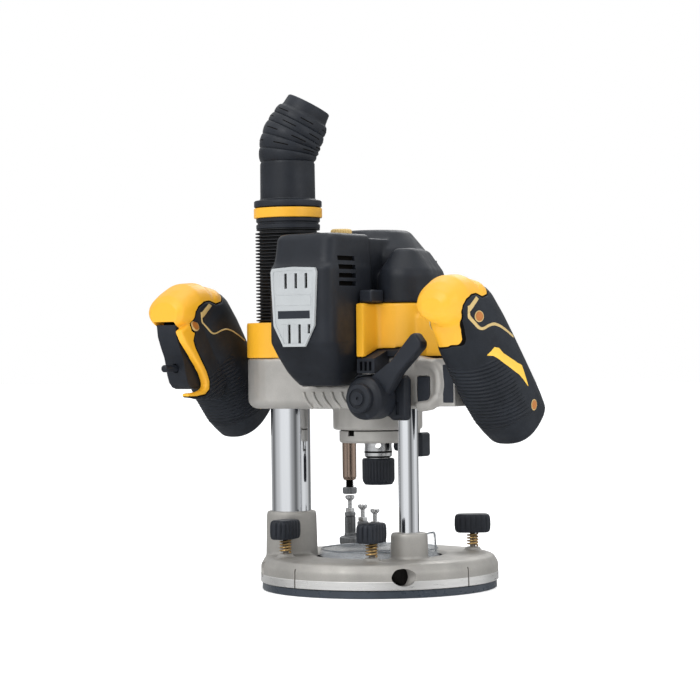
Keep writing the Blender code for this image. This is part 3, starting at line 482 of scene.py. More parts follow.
DUST = (-62.6, -33.0)
GUIDE = (49.8, -32.5)
CLAMPS = {"1": (-45.0, -66.0), "2": (37.0, -66.0), "3": (54.0, 55.0)}
TURRET = (-52.0, 53.0)
DEPTH = (-64.0, 52.0)


# ---- columns, bellows and spout

def stretch(name, bm, material, node, axis, fixed_z, moving_z):
    """Piece baked into world space with no body, taking the place of a CAD node; fixed_z and moving_z, where
    the base and the carriage hold it, are not used.
    """
    bmesh.ops.recalc_face_normals(bm, faces=bm.faces)
    obj = linked(name, shifted(bm, name))
    obj.data.shade_smooth()
    obj.data.materials.append(MAT[material])
    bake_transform(obj)
    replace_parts(obj, node)


def columns():
    """Hollow dust column, and the guide column with the plunge spring inside it."""
    dust = lathe([(15.8, 24.3), (15.8, 300), (14.4, 300), (14.4, 24.3)], DUST, 80, True)
    solid("dust_tube", dust, "chrome_tube", "base", ("dust_column",))
    guide = lathe([(8, 12.3), (8, 196), (5.6, 196), (5.6, 13), (0, 13), (0, 12.3)], GUIDE, 64)
    solid("guide_tube", guide, "chrome_tube", "base", ("guide_column",))
    low, high = 31.5, 262.5
    spring = coil(4.6, 0.7, low, high, 9, GUIDE)
    stretch("plunge_spring_look", spring, "steel", "plunge_spring", GUIDE, low, high)


def bellows():
    """Folded sleeve between the cover and the column collar."""
    low, high, pitch = 212.8, 287.7, 2.68
    profile = [(20.5, high), (20.5, low), (25.6, low)]
    for i in range(27):
        z = low + 0.8 + i * pitch
        profile += [(23.2, z), (26.5, z + 0.55), (26.5, z + 1.35), (23.2, z + 1.9)]
    profile += [(23.2, 286.6), (25.6, 286.9), (25.6, high)]
    sleeve = lathe(profile, DUST, 96, True, 0.25)
    stretch("bellows_sleeve", sleeve, "bellows_rubber", "bellows", DUST, high, low)


def spout_frame(height, shift, tilt):
    """Centre and the two directions across the spout at one station of its centre line."""
    across = VIEW_RIGHT * math.cos(tilt) - vec(0, 0, math.sin(tilt))
    return vec(*DUST, height) + VIEW_RIGHT * shift, across, -VIEW_BACK


BEND_RADIUS, BEND_TILT, BEND_START = 48, math.radians(28), 342
RIBS, RIB_RUN = 5, 8.0


def spout_station(run):
    """Height, sideways shift and tilt of the elbow's centre line, run millimetres past the straight part."""
    tilt = min(run / BEND_RADIUS, BEND_TILT)
    straight = max(0.0, run - BEND_RADIUS * BEND_TILT)
    return (BEND_START + BEND_RADIUS * math.sin(tilt) + straight * math.cos(tilt),
            BEND_RADIUS * (1 - math.cos(tilt)) + straight * math.sin(tilt), tilt)


def rib_radius(run):
    """Outer radius along the ribbed part: five rounded ribs on a slightly swollen bend."""
    length = RIBS * RIB_RUN
    swell = 2.1 * math.sin(math.pi * min(run / length, 1) ** 0.9) - 1.6 * max(0.0, run / length - 0.6)
    rib = abs(math.sin(math.pi * run / RIB_RUN)) ** 0.45
    return 21.3 + swell + 1.1 * rib


# (height, outer radius) of the upright foot, and (run, radius) of the tip and back down inside it
SPOUT_FOOT = [(305.3, 26.6), (305.8, 27.3), (309.8, 27.3), (310.6, 26.5), (311.0, 22.9), (312.5, 22.2),
              (340, 22.0)]
SPOUT_TIP = [(40.8, 19.6), (42.2, 19.2), (49.4, 18.4), (50.2, 17.6), (50.2, 15.6), (40, 15.8), (24, 16.5)]


def spout():
    """Swivelling elbow with ribs and painted shade for the notches between them, the collar below it and the
    yellow ring.
    """
    steps = RIBS * 16
    runs = [RIBS * RIB_RUN * i / steps for i in range(steps + 1)]
    stations = [(height, 0, 0, radius) for height, radius in SPOUT_FOOT]
    bend = [(run, rib_radius(run)) for run in runs]
    stations += [(*spout_station(run), radius) for run, radius in bend + SPOUT_TIP]
    stations += [(BEND_START, 0, 0, 18), (305.3, 0, 0, 18.6)]
    rings = []
    for height, shift, tilt, radius in stations:
        centre, across, side = spout_frame(height, shift, tilt)
        rings.append([centre + (across * math.cos(a) + side * math.sin(a)) * radius for a in angles(80)])
    solid("spout_elbow", loft(rings, closed=True), "black_plastic", "spout", ("dust_spout",), angle=60)
    # Thin near-black tubes stand in for the notches: painted shade, not cuts.
    notches = []
    for row in range(1, RIBS):
        run = (row + 0.5) * RIB_RUN
        centre, across, side = spout_frame(*spout_station(run))
        radius = rib_radius(run) - 0.25
        for start in angles(6, math.radians((30 if row % 2 else 0) - 90)):
            path = [centre + (across * math.cos(a) + side * math.sin(a)) * radius
                    for a in (start + math.radians(30) * n / 8 for n in range(9))]
            notches.append(tube(path, 0.5, 6))
    solid("spout_notches", merge(*notches), "seam", "spout")
    collar = [(16.2, 288), (25.7, 288), (25.7, 291.2), (24.6, 291.8), (24.6, 293.0), (25.7, 293.6),
              (25.7, 296.3), (16.2, 296.3)]
    solid("collar_look", lathe(collar, DUST, 80, True), "black_plastic", "base", ("column_collar",))
    ring = [(16.2, 296.6), (27.5, 296.6, 0.8), (27.5, 304.6, 0.8), (16.2, 304.6)]
    solid("spout_band", lathe(ring, DUST, 80, True), "yellow_plastic", "base", ("spout_ring",))


# ---- handles

BEAK_X = 124.5
# centre, rake in degrees, half width and half depth of each section, from the foot up
GRIP = [((130, 3.4, 128.2), 39, 8, 11), ((130, 1.4, 130.6), 40, 16.5, 20.5),
        ((130, -1.4, 134), 41, 20.6, 25.3), ((129.4, -10, 142.2), 42, 22.2, 27.3),
        ((129, -18, 150), 42, 23, 28.5), ((128, -34, 168), 41, 23.5, 29.5),
        ((126.8, -47, 185), 39, 23.2, 29.5), ((125.6, -60, 202), 38, 23, 28.8),
        ((124.6, -72, 218), 38, 22.5, 26), ((124.5, -80, 228), 38, 20, 21.5), ((124.5, -86, 236), 36, 12, 13)]
BEAK = [(-68, 222, 19.5, 19), (-80, 224, 21, 21.5), (-94, 225.4, 20.3, 19.3), (-105, 224, 17.8, 15.2),
        (-111, 222.6, 14.5, 11), (-114, 221.5, 9, 6)]
BEAK_LEFT = [(-105, 223, 18.4, 16.4), (-112, 221.4, 16.6, 13.4), (-116, 220, 12.5, 9)]


def handle_section(station, side):
    (x, y, z), rake, half_x, half_n = station
    tilt = math.radians(rake)
    normal = vec(0, math.cos(tilt), math.sin(tilt))
    ring = []
    for a in angles(48):
        across, over = rounded_power(math.cos(a), 0.82), rounded_power(math.sin(a), 0.82)
        ring.append(vec(side * x + half_x * across, y, z) + normal * half_n * over)
    return ring


def remeshed(bm, voxel, smooth=4):
    """Closed skin of uniform small faces, with the joins between lofts relaxed."""
    bmesh.ops.recalc_face_normals(bm, faces=bm.faces)
    obj = linked("skin", mesh_from(bm, "skin"))
    modifier = obj.modifiers.new("Remesh", "REMESH")
    modifier.mode = "VOXEL"
    modifier.voxel_size = voxel
    relax = obj.modifiers.new("Smooth", "SMOOTH")
    relax.factor = 0.5
    relax.iterations = smooth
    result = evaluated(obj)
    discard(obj)
    return result


CHEEK = [(-104, 212), (-116, 206.5), (-111, 198.4), (-102.6, 189.4), (-94.2, 180.2), (-87.6, 172),
         (-84.4, 165.5), (-84.6, 161.8), (-88.5, 159), (-98, 157.6), (-108, 157.3), (-108, 154),
         (-86, 152.4), (-66, 152), (-48, 176), (-60, 209)]


def yz_prism(points, low_x, high_x):
    return loft([[vec(x, y, z) for y, z in points] for x in (low_x, high_x)])


def handle_skin(side):
    """Grip and beak as one skin; the left grip starts a little higher and has a wider outer cheek."""
    lift, outer = (0, 1.0) if side > 0 else (4.5, 1.16)
    sections = []
    for i, ((x, y, z), rake, half_x, half_n) in enumerate(GRIP):
        raised = lift * max(0, 1 - i / 4)
        sections.append(handle_section(((x, y - raised * 0.7, z + raised), rake, half_x, half_n), side))
    rings = []
    for y, z, half_x, half_z in BEAK if side > 0 else BEAK[:3] + BEAK_LEFT:
        ring = []
        for a in angles(40):
            reach = half_x * math.cos(a) * (outer if math.cos(a) * side > 0 else 1)
            ring.append(vec(side * BEAK_X + reach, y, z + half_z * math.sin(a)))
        rings.append(ring)
    body = merge(loft(sections), loft(rings))
    if side < 0:
        body = merge(body, yz_prism(CHEEK, -114.2, -107.4))
    return remeshed(body, 0.95, 9)


# (y, z) outlines on the side of a handle
CAP_EDGE = [(-60, 238), (-68, 230.5), (-75.4, 228.8), (-83.5, 231.1), (-90.3, 230.1), (-97, 226.5),
            (-100.3, 221.8), (-100, 217), (-96.1, 213), (-92.8, 208.5), (-90.4, 202), (-87.8, 196.5)]
SKIRT_RIGHT = [(-87, 193), (-89, 191.6), (-94, 191.2), (-160, 191.2), (-160, 265), (-60, 265)]
SKIRT_LEFT = [(-101, 214.6), (-104.6, 211), (-103, 206.6), (-99, 204.8), (-101, 199), (-98.4, 193),
              (-92, 184.2), (-84.8, 174.6), (-81, 166.4), (-81.4, 160.2), (-86.6, 156.4), (-97.5, 155),
              (-160, 154.6), (-160, 265), (-60, 265)]
ACCENT = [(-94.5, 221.8), (-92.6, 217.2), (-88.6, 212.6), (-83.6, 207.2), (-80.4, 204.6), (-77.2, 204.4),
          (-72.4, 206.9), (-65, 208.3), (-57, 206.7), (-46.4, 202.8), (-36, 198.6)]
ACCENT_SLOT = ([(-95.6, 221.3), (-91.5, 224.8), (-86.0, 228.6)],
               [(-90.6, 216.2), (-86.4, 221.6), (-81.4, 226.0)])
BADGE = ([(-71.0, 184.6), (-66, 183.5), (-47, 174), (-28.8, 164.9), (-22.8, 161.0)],
         [(-70.6, 185.6), (-65, 192.4), (-59.4, 191.8), (-54.2, 187.6), (-35.0, 180.2), (-28.5, 178.6),
          (-22.4, 162.0)])
SCREW_HOLES = [(-81.7, 213.7), (-14, 146.7)]


def signed_distance(point, polygon):
    """Distance in a plane to a closed outline, negative inside."""
    inside, best = False, math.inf
    u, v = point
    for i, (au, av) in enumerate(polygon):
        bu, bv = polygon[(i + 1) % len(polygon)]
        du, dv = bu - au, bv - av
        t = clamped(((u - au) * du + (v - av) * dv) / (du * du + dv * dv))
        best = min(best, math.hypot(au + t * du - u, av + t * dv - v))
        if (av > v) != (bv > v) and u < au + (v - av) / (bv - av) * du:
            inside = not inside
    return -best if inside else best


def split_by(bm, field, index):
    """Cuts the faces where the field is zero, and gives the positive side the material after index."""
    value = {v: field(v.co) for v in bm.verts}
    fresh = set()
    for edge in list(bm.edges):
        a, b = edge.verts
        if value[a] * value[b] < 0:
            t = value[a] / (value[a] - value[b])
            _, vert = bmesh.utils.edge_split(edge, a, min(0.98, max(0.02, t)))
            value[vert] = 0.0
            fresh.add(vert)
    for face in list(bm.faces):
        cuts = [v for v in face.verts if v in fresh]
        if len(cuts) == 2 and not any(set(cuts) == set(e.verts) for e in face.edges):
            bmesh.utils.face_split(face, cuts[0], cuts[1])
    for face in bm.faces:
        if sum(value[v] for v in face.verts) > 0:
            face.material_index = index + 1
    return value


def resample(line, count):
    """Points at even spacing along a polyline."""
    lengths = [0.0]
    for p, q in zip(line, line[1:]):
        lengths.append(lengths[-1] + math.dist(p, q))
    result = []
    for k in range(count + 1):
        goal, i = lengths[-1] * k / count, 0
        while i < len(line) - 2 and lengths[i + 1] < goal:
            i += 1
        t = (goal - lengths[i]) / max(lengths[i + 1] - lengths[i], 1e-6)
        result.append(tuple(a + (b - a) * t for a, b in zip(line[i], line[i + 1])))
    return result


def band(tree, lower, upper, side, lift=0.9, across=4):
    """Thin raised plate between two (y, z) lines over a handle's side face."""
    longest = max(sum(math.dist(p, q) for p, q in zip(line, line[1:])) for line in (lower, upper))
    count = max(8, int(longest / 0.7))
    rows = []
    for low, high in zip(resample(lower, count), resample(upper, count)):
        row = []
        for k in range(across + 1):
            t = k / across
            spot = vec(side * FAR, low[0] + (high[0] - low[0]) * t, low[1] + (high[1] - low[1]) * t)
            hit, normal, _, _ = tree.ray_cast(spot, vec(-side, 0, 0))
            if hit is None:
                break
            row.append(hit + normal * (lift if 0 < k < across else lift - 0.7))
        if len(row) == across + 1:
            rows.append(row)
    bm = bmesh.new()
    verts = [[bm.verts.new(p) for p in row] for row in rows]
    for low, high in zip(verts, verts[1:]):
        for i in range(across):
            bm.faces.new((low[i], low[i + 1], high[i + 1], high[i]))
    return bm


def inlay(tree, path, width, side, lift):
    """Raised strip of even width along a smoothed (y, z) line."""
    line = resample(path, 60)
    for _ in range(3):
        line = [line[0]] + [tuple((p[i] + 2 * q[i] + r[i]) / 4 for i in (0, 1))
                            for p, q, r in zip(line, line[1:], line[2:])] + [line[-1]]
    lower, upper = [], []
    for i, (y, z) in enumerate(line):
        ahead, behind = line[min(i + 1, len(line) - 1)], line[max(i - 1, 0)]
        run = Vector((ahead[0] - behind[0], ahead[1] - behind[1])).normalized() * width / 2
        lower.append((y + run.y, z - run.x))
        upper.append((y - run.y, z + run.x))
    return band(tree, lower, upper, side, lift, 3)


def ring_inlay(tree, spot, radius, side):
    """Raised rim and sunken plug of a screw hole."""
    hit, normal, _, _ = tree.ray_cast(vec(side * FAR, *spot), vec(-side, 0, 0))
    hit += normal * 0.55
    edge = [(radius, 0), (radius + 0.9, 0), (radius + 0.9, 1.5), (radius, 1.5)]
    dish = [(0, 1.35), (radius - 1.6, 1.35), (radius - 0.8, 1.55), (radius + 0.2, 1.6), (radius + 0.2, 0),
            (0, 0)]
    return (turned_along(hit - normal * 1.2, hit + normal, edge, 32, True),
            turned_along(hit - normal * 1.1, hit + normal, dish, 32))


TRIGGER_POCKET = [(-140, 214), (-140, 158.6), (-88, 159), (-78, 160), (-70.5, 164), (-68, 172), (-71, 190),
                  (-74, 207), (-90, 214)]


def ridge(point):
    """Height of the moulded ridges across the front and flanks of a grip, from -1 to 1."""
    y = point.y + SPINDLE_Y
    run, depth = GRIP_COS * point.z - GRIP_SIN * y, GRIP_COS * y + GRIP_SIN * point.z
    ends = clamped(min((run - 112) / 4, (176 - run) / 6, (89 - depth) / 5))
    return ends * math.sin(2 * math.pi * (run + RIDGE_SLANT * depth) / RIDGE_PITCH)


def handle(side):
    """Yellow cap, black seam and raised rubber in one skin, with its inlays; side is +1 on the right."""
    tag = "right" if side > 0 else "left"
    piece = "handle_" + tag
    skin = handle_skin(side)
    tree = BVHTree.FromBMesh(skin)
    if side < 0:
        skin = combine(skin, [yz_prism(TRIGGER_POCKET, -135.6, -115.2)])

    def to_edge(point):
        if side > 0:
            inner = clamped((BEAK_X - point.x) / 12) * clamped((216 - point.z) / 6)
            return signed_distance((point.y - 10 * inner, point.z), CAP_EDGE + SKIRT_RIGHT)
        return signed_distance((point.y, point.z), CAP_EDGE[:8] + SKIRT_LEFT)

    split_by(skin, to_edge, 0)
    value = split_by(skin, lambda p: to_edge(p) - 1.3, 1)
    badge = BADGE[0] + BADGE[1][::-1]

    def relief(point):
        return ridge(point) * clamped((signed_distance((point.y, point.z), badge) - 0.8) / 2)

    skin.normal_update()
    for vert in skin.verts:
        depth = value[vert]
        if depth > 0.01:
            raised = min(0.6, depth * 0.8) + 0.26 * relief(vert.co) * clamped(depth / 3)
            vert.co += vert.normal * raised
    obj = solid(piece + "_skin", skin, "yellow_plastic", "carriage", (piece, "grip_" + tag))
    obj.data.materials.append(MAT["seam"])
    obj.data.materials.append(MAT["grip_ribbed"])
    strips, plugs = [], []
    for face in (side, -side):
        holes = SCREW_HOLES if side > 0 or face < 0 else [(-98.5, 210.5), SCREW_HOLES[1]]
        strips += [inlay(tree, ACCENT, 2.9 if side > 0 else 1.6, face, 1.05), band(tree, *ACCENT_SLOT, face)]
        for spot in holes:
            rim, plug = ring_inlay(tree, spot, 3.4, face)
            strips.append(rim)
            plugs.append(plug)
    solid(piece + "_accent", merge(*strips), "accent", "carriage")
    solid(piece + "_plugs", merge(*plugs), "plug", "carriage")
    solid(piece + "_badge", band(tree, *BADGE, side), "badge", "carriage")


def trigger_piece():
    """Trigger with the bore of the lock-off peg, and the peg."""
    outline = [(-113.5, 211.5), (-112.2, 202), (-108.3, 193), (-104.6, 186), (-102.6, 179), (-101, 171.5),
               (-98.5, 165.5), (-95, 161.8), (-90, 160.2), (-82, 160.4), (-76.5, 163.5), (-73, 172),
               (-75, 204), (-80, 211.5)]
    body = combine(yz_prism(outline, -134.5, -115.5), [rod((-125, -130, 177), (-125, -86, 177), 3.6, 32)])
    solid("trigger_look", body, "black_plastic", "trigger_body", ("trigger",), 2.6, 4, 40)
    peg = turned_along((-125, -117, 177), (-125, -92, 177), [(0, 0), (2.9, 0, 1.2), (2.9, 25), (0, 25)], 32)
    solid("lock_off_look", peg, "black_plastic", "lock_off", ("lock_off_button",))


# ---- detail shapes

def cad_copy(*nodes):
    """CAD nodes as one mesh in millimetres around the spindle axis."""
    bm = bmesh.new()
    for node in nodes:
        bm.from_mesh(NODES[node].data)
    bm.transform(Matrix.Translation((0, -SPINDLE_Y, 0)) @ Matrix.Scale(1000, 4))
    return bm


def fluted(stations, at=(0, 0), teeth=12, steps=3, closed=False):
    """Turned shape with flutes; each station is (radius, height, depth of the flutes)."""
    rings = []
    for radius, height, depth in stations:
        ring = []
        for a in angles(teeth * steps * 2):
            r = max(radius - depth * max(0.0, math.cos(teeth * a)), 0.001)
            ring.append(vec(at[0] + r * math.cos(a), at[1] + r * math.sin(a), height))
        rings.append(ring)
    return loft(rings, closed)


def thread(radius, low, high, pitch, depth=0.35):
    """Profile of a threaded length, from low to high."""
    turns = max(1, round((high - low) / pitch))
    step = (high - low) / turns
    points = []
    for i in range(turns):
        points += [(radius - depth, low + i * step), (radius, low + (i + 0.5) * step)]
    return points + [(radius - depth, high)]


def hexagon(radius, low, high, at):
    """Hexagonal nut, turned a little away from the axes."""
    outline = [(at[0] + radius * math.cos(a), at[1] + radius * math.sin(a)) for a in angles(6, 0.2)]
    return loft([[vec(x, y, z) for x, y in outline] for z in (low, high)])


def hull(circles, grow=0.0):
    """Outline around circles of (x, y, radius)."""
    points = []
    for a in angles(72):
        ahead = Vector((math.cos(a), math.sin(a)))
        x, y, radius = max(circles, key=lambda c: c[0] * ahead.x + c[1] * ahead.y + c[2])
        points.append((x + ahead.x * (radius + grow), y + ahead.y * (radius + grow)))
    return points


# ---- base, clamps and turret

NOTCH_TURN = math.radians(-9.9)
RIM_SECTION = [(94.2, 6.35), (94.9, 6.35), (95.2, 6.7), (95.2, 12.7), (94.9, 13.1), (94.2, 13.1)]


FENCE_BORES = (-66, 55)
FENCE_Z = 16.5


def dust_shield_edge():
    """Bright edges of the clear shroud: its raised rim and a ring near the bottom."""
    radius = 46.3
    shield = [v.co * 1000 for v in NODES["dust_shroud"].data.vertices if v.co.z > 0.044]
    ends = [math.atan2(p.y - SPINDLE_Y, p.x) for p in shield]
    low, high = min(ends), max(ends)
    rim = []
    for k in range(25):
        t = k / 24
        a = low + (high - low) * t
        rim.append(vec(radius * math.cos(a), radius * math.sin(a), 28 + 16.5 * (1 - abs(2 * t - 1) ** 5)))
    circle = [vec(radius * math.cos(a), radius * math.sin(a), 31) for a in angles(96) + [2 * math.pi]]
    edges = merge(tube(rim, 0.7), tube(circle, 0.6))
    solid("shield_edge", edges, "clear_edge", "base")


def base():
    """Cast base with a machined lower rim, four rim notches and filleted sockets."""
    plate = [(50, 6.3), (95, 6.3), (95, 19.5, 4), (91.6, 25.4, 4), (86, 27, 3), (55, 27, 1.5),
             (50, 24.4, 1.5)]
    big = [(0, 15), (21, 18), (20, 58.6), (19.2, 61.4, 1.0), (16.1, 61.6), (16.1, 56), (0, 56)]
    small = [(0, 15), (14.8, 18), (14.4, 44.8), (13.6, 47.4, 1.0), (8.2, 47.6), (8.2, 43), (0, 43)]
    boss = [(0, 20), (8.2, 20), (7.6, 25.5), (5.8, 29.9), (0, 30)]
    bosses = [lathe(boss, spot, 40) for spot in CLAMPS.values()]
    skin = remeshed(merge(lathe(plate, steps=144, closed=True), lathe(big, DUST, 72), lathe(small, GUIDE, 56),
                          *bosses), 1.15, 3)
    notches, bands = [], []
    for quarter in angles(4, NOTCH_TURN):
        notch = block((92.6, -0.7, 5), (97, 0.7, 21))
        notch.transform(Matrix.Rotation(quarter, 4, "Z"))
        notches.append(notch)
        rings = []
        for i in range(61):
            a = quarter + math.radians(0.45 + 89.1 * i / 60)
            rings.append([vec(r * math.cos(a), r * math.sin(a), z) for r, z in RIM_SECTION])
        bands.append(loft(rings))

    def drills():
        """Fence rod bores right across the base, and the flare of the front one's right mouth."""
        bores = [rod((-130, y, FENCE_Z), (130, y, FENCE_Z), 6.2) for y in FENCE_BORES]
        return bores + [rod((40, -67, 15.9), (110, -67, 15.9), 6.6)]

    solid("base_rim", combine(merge(*bands), drills()), "machined", "base")
    solid("base_plate", combine(skin, notches + drills()), "cast_base", "base", ("base_casting",))
    # Near-black ring on the upper wall of the central opening: painted shade inside the opening.
    wall_shade = lathe([(49.3, 20.5), (50.3, 20.5), (50.3, 25.2), (49.3, 25.2)], steps=120, closed=True)
    solid("opening_lip", wall_shade, "seam", "base")
    plugs = [rod((20, y, FENCE_Z), (end, y, FENCE_Z), 6.15)
             for y, end in zip(FENCE_BORES * 2, (66, 63, -54, -63))]
    solid("bore_shadow", merge(*plugs), "seam", "base")
    dust_shield_edge()


KNOB_TURNS = {"1": 95, "2": 95, "3": 34.5}
KNOB_HALF = (14.6, 8.6)
KNOB_STATIONS = [(0.45, 41.5, 0), (0.84, 41.5, 0), (0.93, 42.3, 0.2), (0.98, 44.2, 0.8), (1.0, 47.5, 1.1),
                 (0.99, 52.5, 1.1), (0.96, 54.6, 0.8), (0.9, 55.9, 0.3), (0.8, 56.5, 0), (0.4, 56.5, 0)]


def clamps():
    """Oval fluted knob, threaded screw and coil spring of each fence rod clamp."""
    oval = [(KNOB_HALF[0] * rounded_power(math.cos(a), 0.6), KNOB_HALF[1] * rounded_power(math.sin(a), 0.6))
            for a in angles(240) + [2 * math.pi]]
    outline = resample(oval, 108)[:-1]
    for tag, spot in CLAMPS.items():
        turn = math.radians(KNOB_TURNS[tag])
        rings = []
        for scale, height, depth in KNOB_STATIONS:
            ring = []
            for i, point in enumerate(outline):
                groove = depth * max(0.0, math.cos(math.pi * i / 3)) ** 2
                x, y = (number * (1 - groove / KNOB_HALF[0]) * scale for number in point)
                ring.append(vec(spot[0] + x * math.cos(turn) - y * math.sin(turn),
                                spot[1] + x * math.sin(turn) + y * math.cos(turn), height))
            rings.append(ring)
        body = "clamp_" + tag
        solid("knob_" + tag, loft(rings), "black_plastic", body, ("clamp_knob_" + tag,), angle=50)
        screw = lathe([(0, 22.4)] + thread(2.5, 22.4, 44, 0.9) + [(0, 44)], spot, 32, corner=0)
        solid("screw_" + tag, screw, "steel", body, ("clamp_screw_" + tag,))
        spring = coil(4.1, 0.72, 30.2, 41.3, 4.2, spot)
        solid("spring_" + tag, spring, "brass", "base", ("clamp_spring_" + tag,))


def stop_screw(spot, post, top):
    """Thumb screw with a dished head and its lock nut, on top of a post."""
    head = [(1.9, top - 4.2), (3.9, top - 2.4, 0.2), (3.9, top - 0.5, 0.3), (3.3, top), (1.7, top),
            (1.4, top - 0.9), (0, top - 0.9)]
    shank = [(0, post - 1), (1.9, post - 1)] + thread(1.9, post - 0.6, top - 4.4, 0.8, 0.25) + head
    return merge(lathe(shank, spot, 36, corner=0), hexagon(4.1, post + 0.4, post + 3.4, spot))


def turret():
    """Knurled drum with three posts on it, each with a stop screw of its own height."""
    drum = [(0, 35.4, 0), (13, 35.4, 0), (13.4, 35.0, 0), (17.4, 35.0, 0), (19.2, 34.2, 0), (19.5, 33.4, 0.5),
            (19.5, 30, 0.5), (19.2, 28.8, 0), (12, 28.8, 0), (0, 28.8, 0)]
    pieces = [fluted(drum, TURRET, 36, 2)]
    first = math.atan2(DEPTH[1] - TURRET[1], DEPTH[0] - TURRET[0])
    for a, name, top in zip(angles(3, first), ("tall", "middle", "low"), (68.5, 62.0, 57.0)):
        spot = (TURRET[0] + 12 * math.cos(a), TURRET[1] + 12 * math.sin(a))
        post = top - 14
        knurled = [(0, 33, 0), (4.9, 33, 0), (4.9, 37, 0), (4.5, 37.4, 0), (4.6, 38, 0.35),
                   (4.6, post - 4.4, 0.35), (4.6, post - 4, 0), (3.9, post - 3.4, 0), (4.6, post - 2.8, 0),
                   (4.6, post - 0.5, 0), (4.2, post, 0), (0, post, 0)]
        pieces.append(fluted(knurled, spot, 18, 2))
        solid("stop_" + name, stop_screw(spot, post, top), "steel", "turret", ("stop_screw_" + name,), 0.25)
    solid("turret_stack", merge(*pieces), "steel_grey", "turret", ("turret_drum",))


def depth_rod():
    """Depth rod, its threaded foot, and the knob that clamps it."""
    bar = [(0, 235), (4.9, 235), (5.85, 234), (5.85, 84), (5.2, 82.4), (5.2, 81.6), (3.1, 81.6)]
    solid("depth_bar", lathe(bar, DEPTH, 48, corner=0.2), "bronze", "rod", ("depth_rod",))
    # The threaded stem is drawn near-black: painted shade standing in for the depth of its threads.
    stem = [(0, 82)] + thread(3.7, 75.5, 82, 1.6, 1.1)[::-1] + [(0, 75.6)]
    solid("depth_thread", lathe(stem, DEPTH, 40, corner=0), "seam", "rod")
    foot = [(0, 75.4, 0), (5.2, 75.4, 0), (6, 74.6, 0.3), (6, 70.8, 0.3), (5.2, 69.8, 0), (0, 69.8, 0)]
    solid("depth_disc", fluted(foot, DEPTH, 28, 2), "steel_grey", "rod", ("depth_foot",))
    low, high = (-76.5, 52, 165), (-90, 52, 165)
    knob = fluted([(0, 0, 0), (7.6, 0, 0), (8.5, 1, 0.7), (8.5, 10.5, 0.7), (7.4, 12.5, 0), (0, 12.5, 0)])
    knob.transform(along(low, high))
    screw = rod((-70.8, 52, 165), (-78.8, 52, 165), 2.6, 24)
    solid("depth_knob", merge(knob, screw), "black_plastic", "depth_clamp", ("depth_clamp_knob",))


def collet_parts():
    """Collet nut, spindle nose with its cross holes, and the collar around it."""
    nut = [(9.5, 103, 0), (12.2, 103, 0), (13, 101.8, 0.15), (13, 99.8, 0.55), (13, 86.6, 0.55),
           (12.6, 84.6, 0.2), (10.9, 82, 0), (6.6, 82, 0), (6.6, 86.7, 0), (9.5, 86.7, 0)]
    cap = fluted(nut, teeth=30, steps=2, closed=True)
    solid("collet_cap", cap, "black_plastic", "spindle_unit", ("collet_nut",))
    nose = [(4.1, 112), (5.6, 112), (6.9, 90), (9.2, 90), (9.2, 103.6), (10.2, 104.2, 0.3), (11, 105),
            (11, 127), (8.5, 127), (8.5, 143), (4.1, 143)]
    holes = [rod((0, 0, 113), (20 * math.cos(a), 20 * math.sin(a), 113), 2.6, 24) for a in angles(4, -0.95)]
    shaft = combine(lathe(nose, steps=56, closed=True), holes)
    solid("spindle_nose", shaft, "steel", "spindle_unit", ("spindle",), 0.2)
    ring = [(14, 116), (30.2, 116, 0.8), (31, 117.6, 0.6), (31, 125.4, 0.3), (14, 125.4)]
    tools = [block((-8.6, -40, 121.6), (-2.2, -27, 127)), block((26.4, -5, 110), (40, 11, 130))]
    # A near-black ring between the collar and the casting, and a near-black block in the collar's slot:
    # painted shade in the gap and the slot.
    gap = lathe([(15, 125.2), (29.8, 125.2), (29.8, 126.4), (15, 126.4)], steps=96, closed=True)
    gap = merge(gap, block((-9, -28.2, 121), (-1.8, -26, 125.4)))
    solid("collar_gap", gap, "seam", "carriage")
    # Near-black ring: painted shade in the groove of the spindle nose.
    dark = lathe([(10, 107.4), (11.15, 107.4), (11.15, 109), (10, 109)], steps=64, closed=True)
    solid("collet_groove", dark, "seam", "spindle_unit")
    collar = combine(lathe(ring, steps=96, closed=True), tools)
    solid("spindle_collar", collar, "cast_body", "carriage", ("spindle_nose_ring",), 0.3)


# ---- carriage casting and cover

CASTING = [(*DUST, 33.7), (0, 0, 47), (*GUIDE, 21)]


def round_lower_left(skin):
    """Rolls the lower edge of the casting's left end to a quarter circle."""
    outline, radius, low = hull(CASTING), 8.0, 143.8
    for vert in skin.verts:
        spot, height = vert.co, vert.co.z - low
        if height > radius or spot.x > -20:
            continue
        inset = -signed_distance((spot.x, spot.y), outline)
        reach = math.hypot(radius - inset, radius - height)
        if -1 < inset < radius and reach > radius:
            outward = Vector((0, math.copysign(1, spot.y + 20)))
            if spot.x < DUST[0]:
                outward = Vector((spot.x - DUST[0], spot.y - DUST[1])).normalized()
            shift = (radius - inset) * (1 - radius / reach)
            drop = (radius - height) * radius / reach
            vert.co = vec(spot.x - outward.x * shift, spot.y - outward.y * shift, low + radius - drop)


def cooling_fins(skin):
    """Curved fins that lie on the front of the casting under the motor."""
    tree = BVHTree.FromBMesh(skin)
    fins = []
    for k in range(5):
        path = []
        for t in (0, 0.2, 0.4, 0.6, 0.8, 1):
            across = -58.5 + k * 7.4 + 5.5 * t * t + 1.5 * t
            spot = VIEW_RIGHT * across + vec(0, 0, 157.2 - 12.4 * t)
            hit, normal, _, _ = tree.ray_cast(spot + VIEW_BACK * FAR, -VIEW_BACK)
            if hit is not None:
                path.append(hit + normal * 0.3)
        if len(path) > 2:
            fins.append(tube(path, 1.35, 10))
    return fins


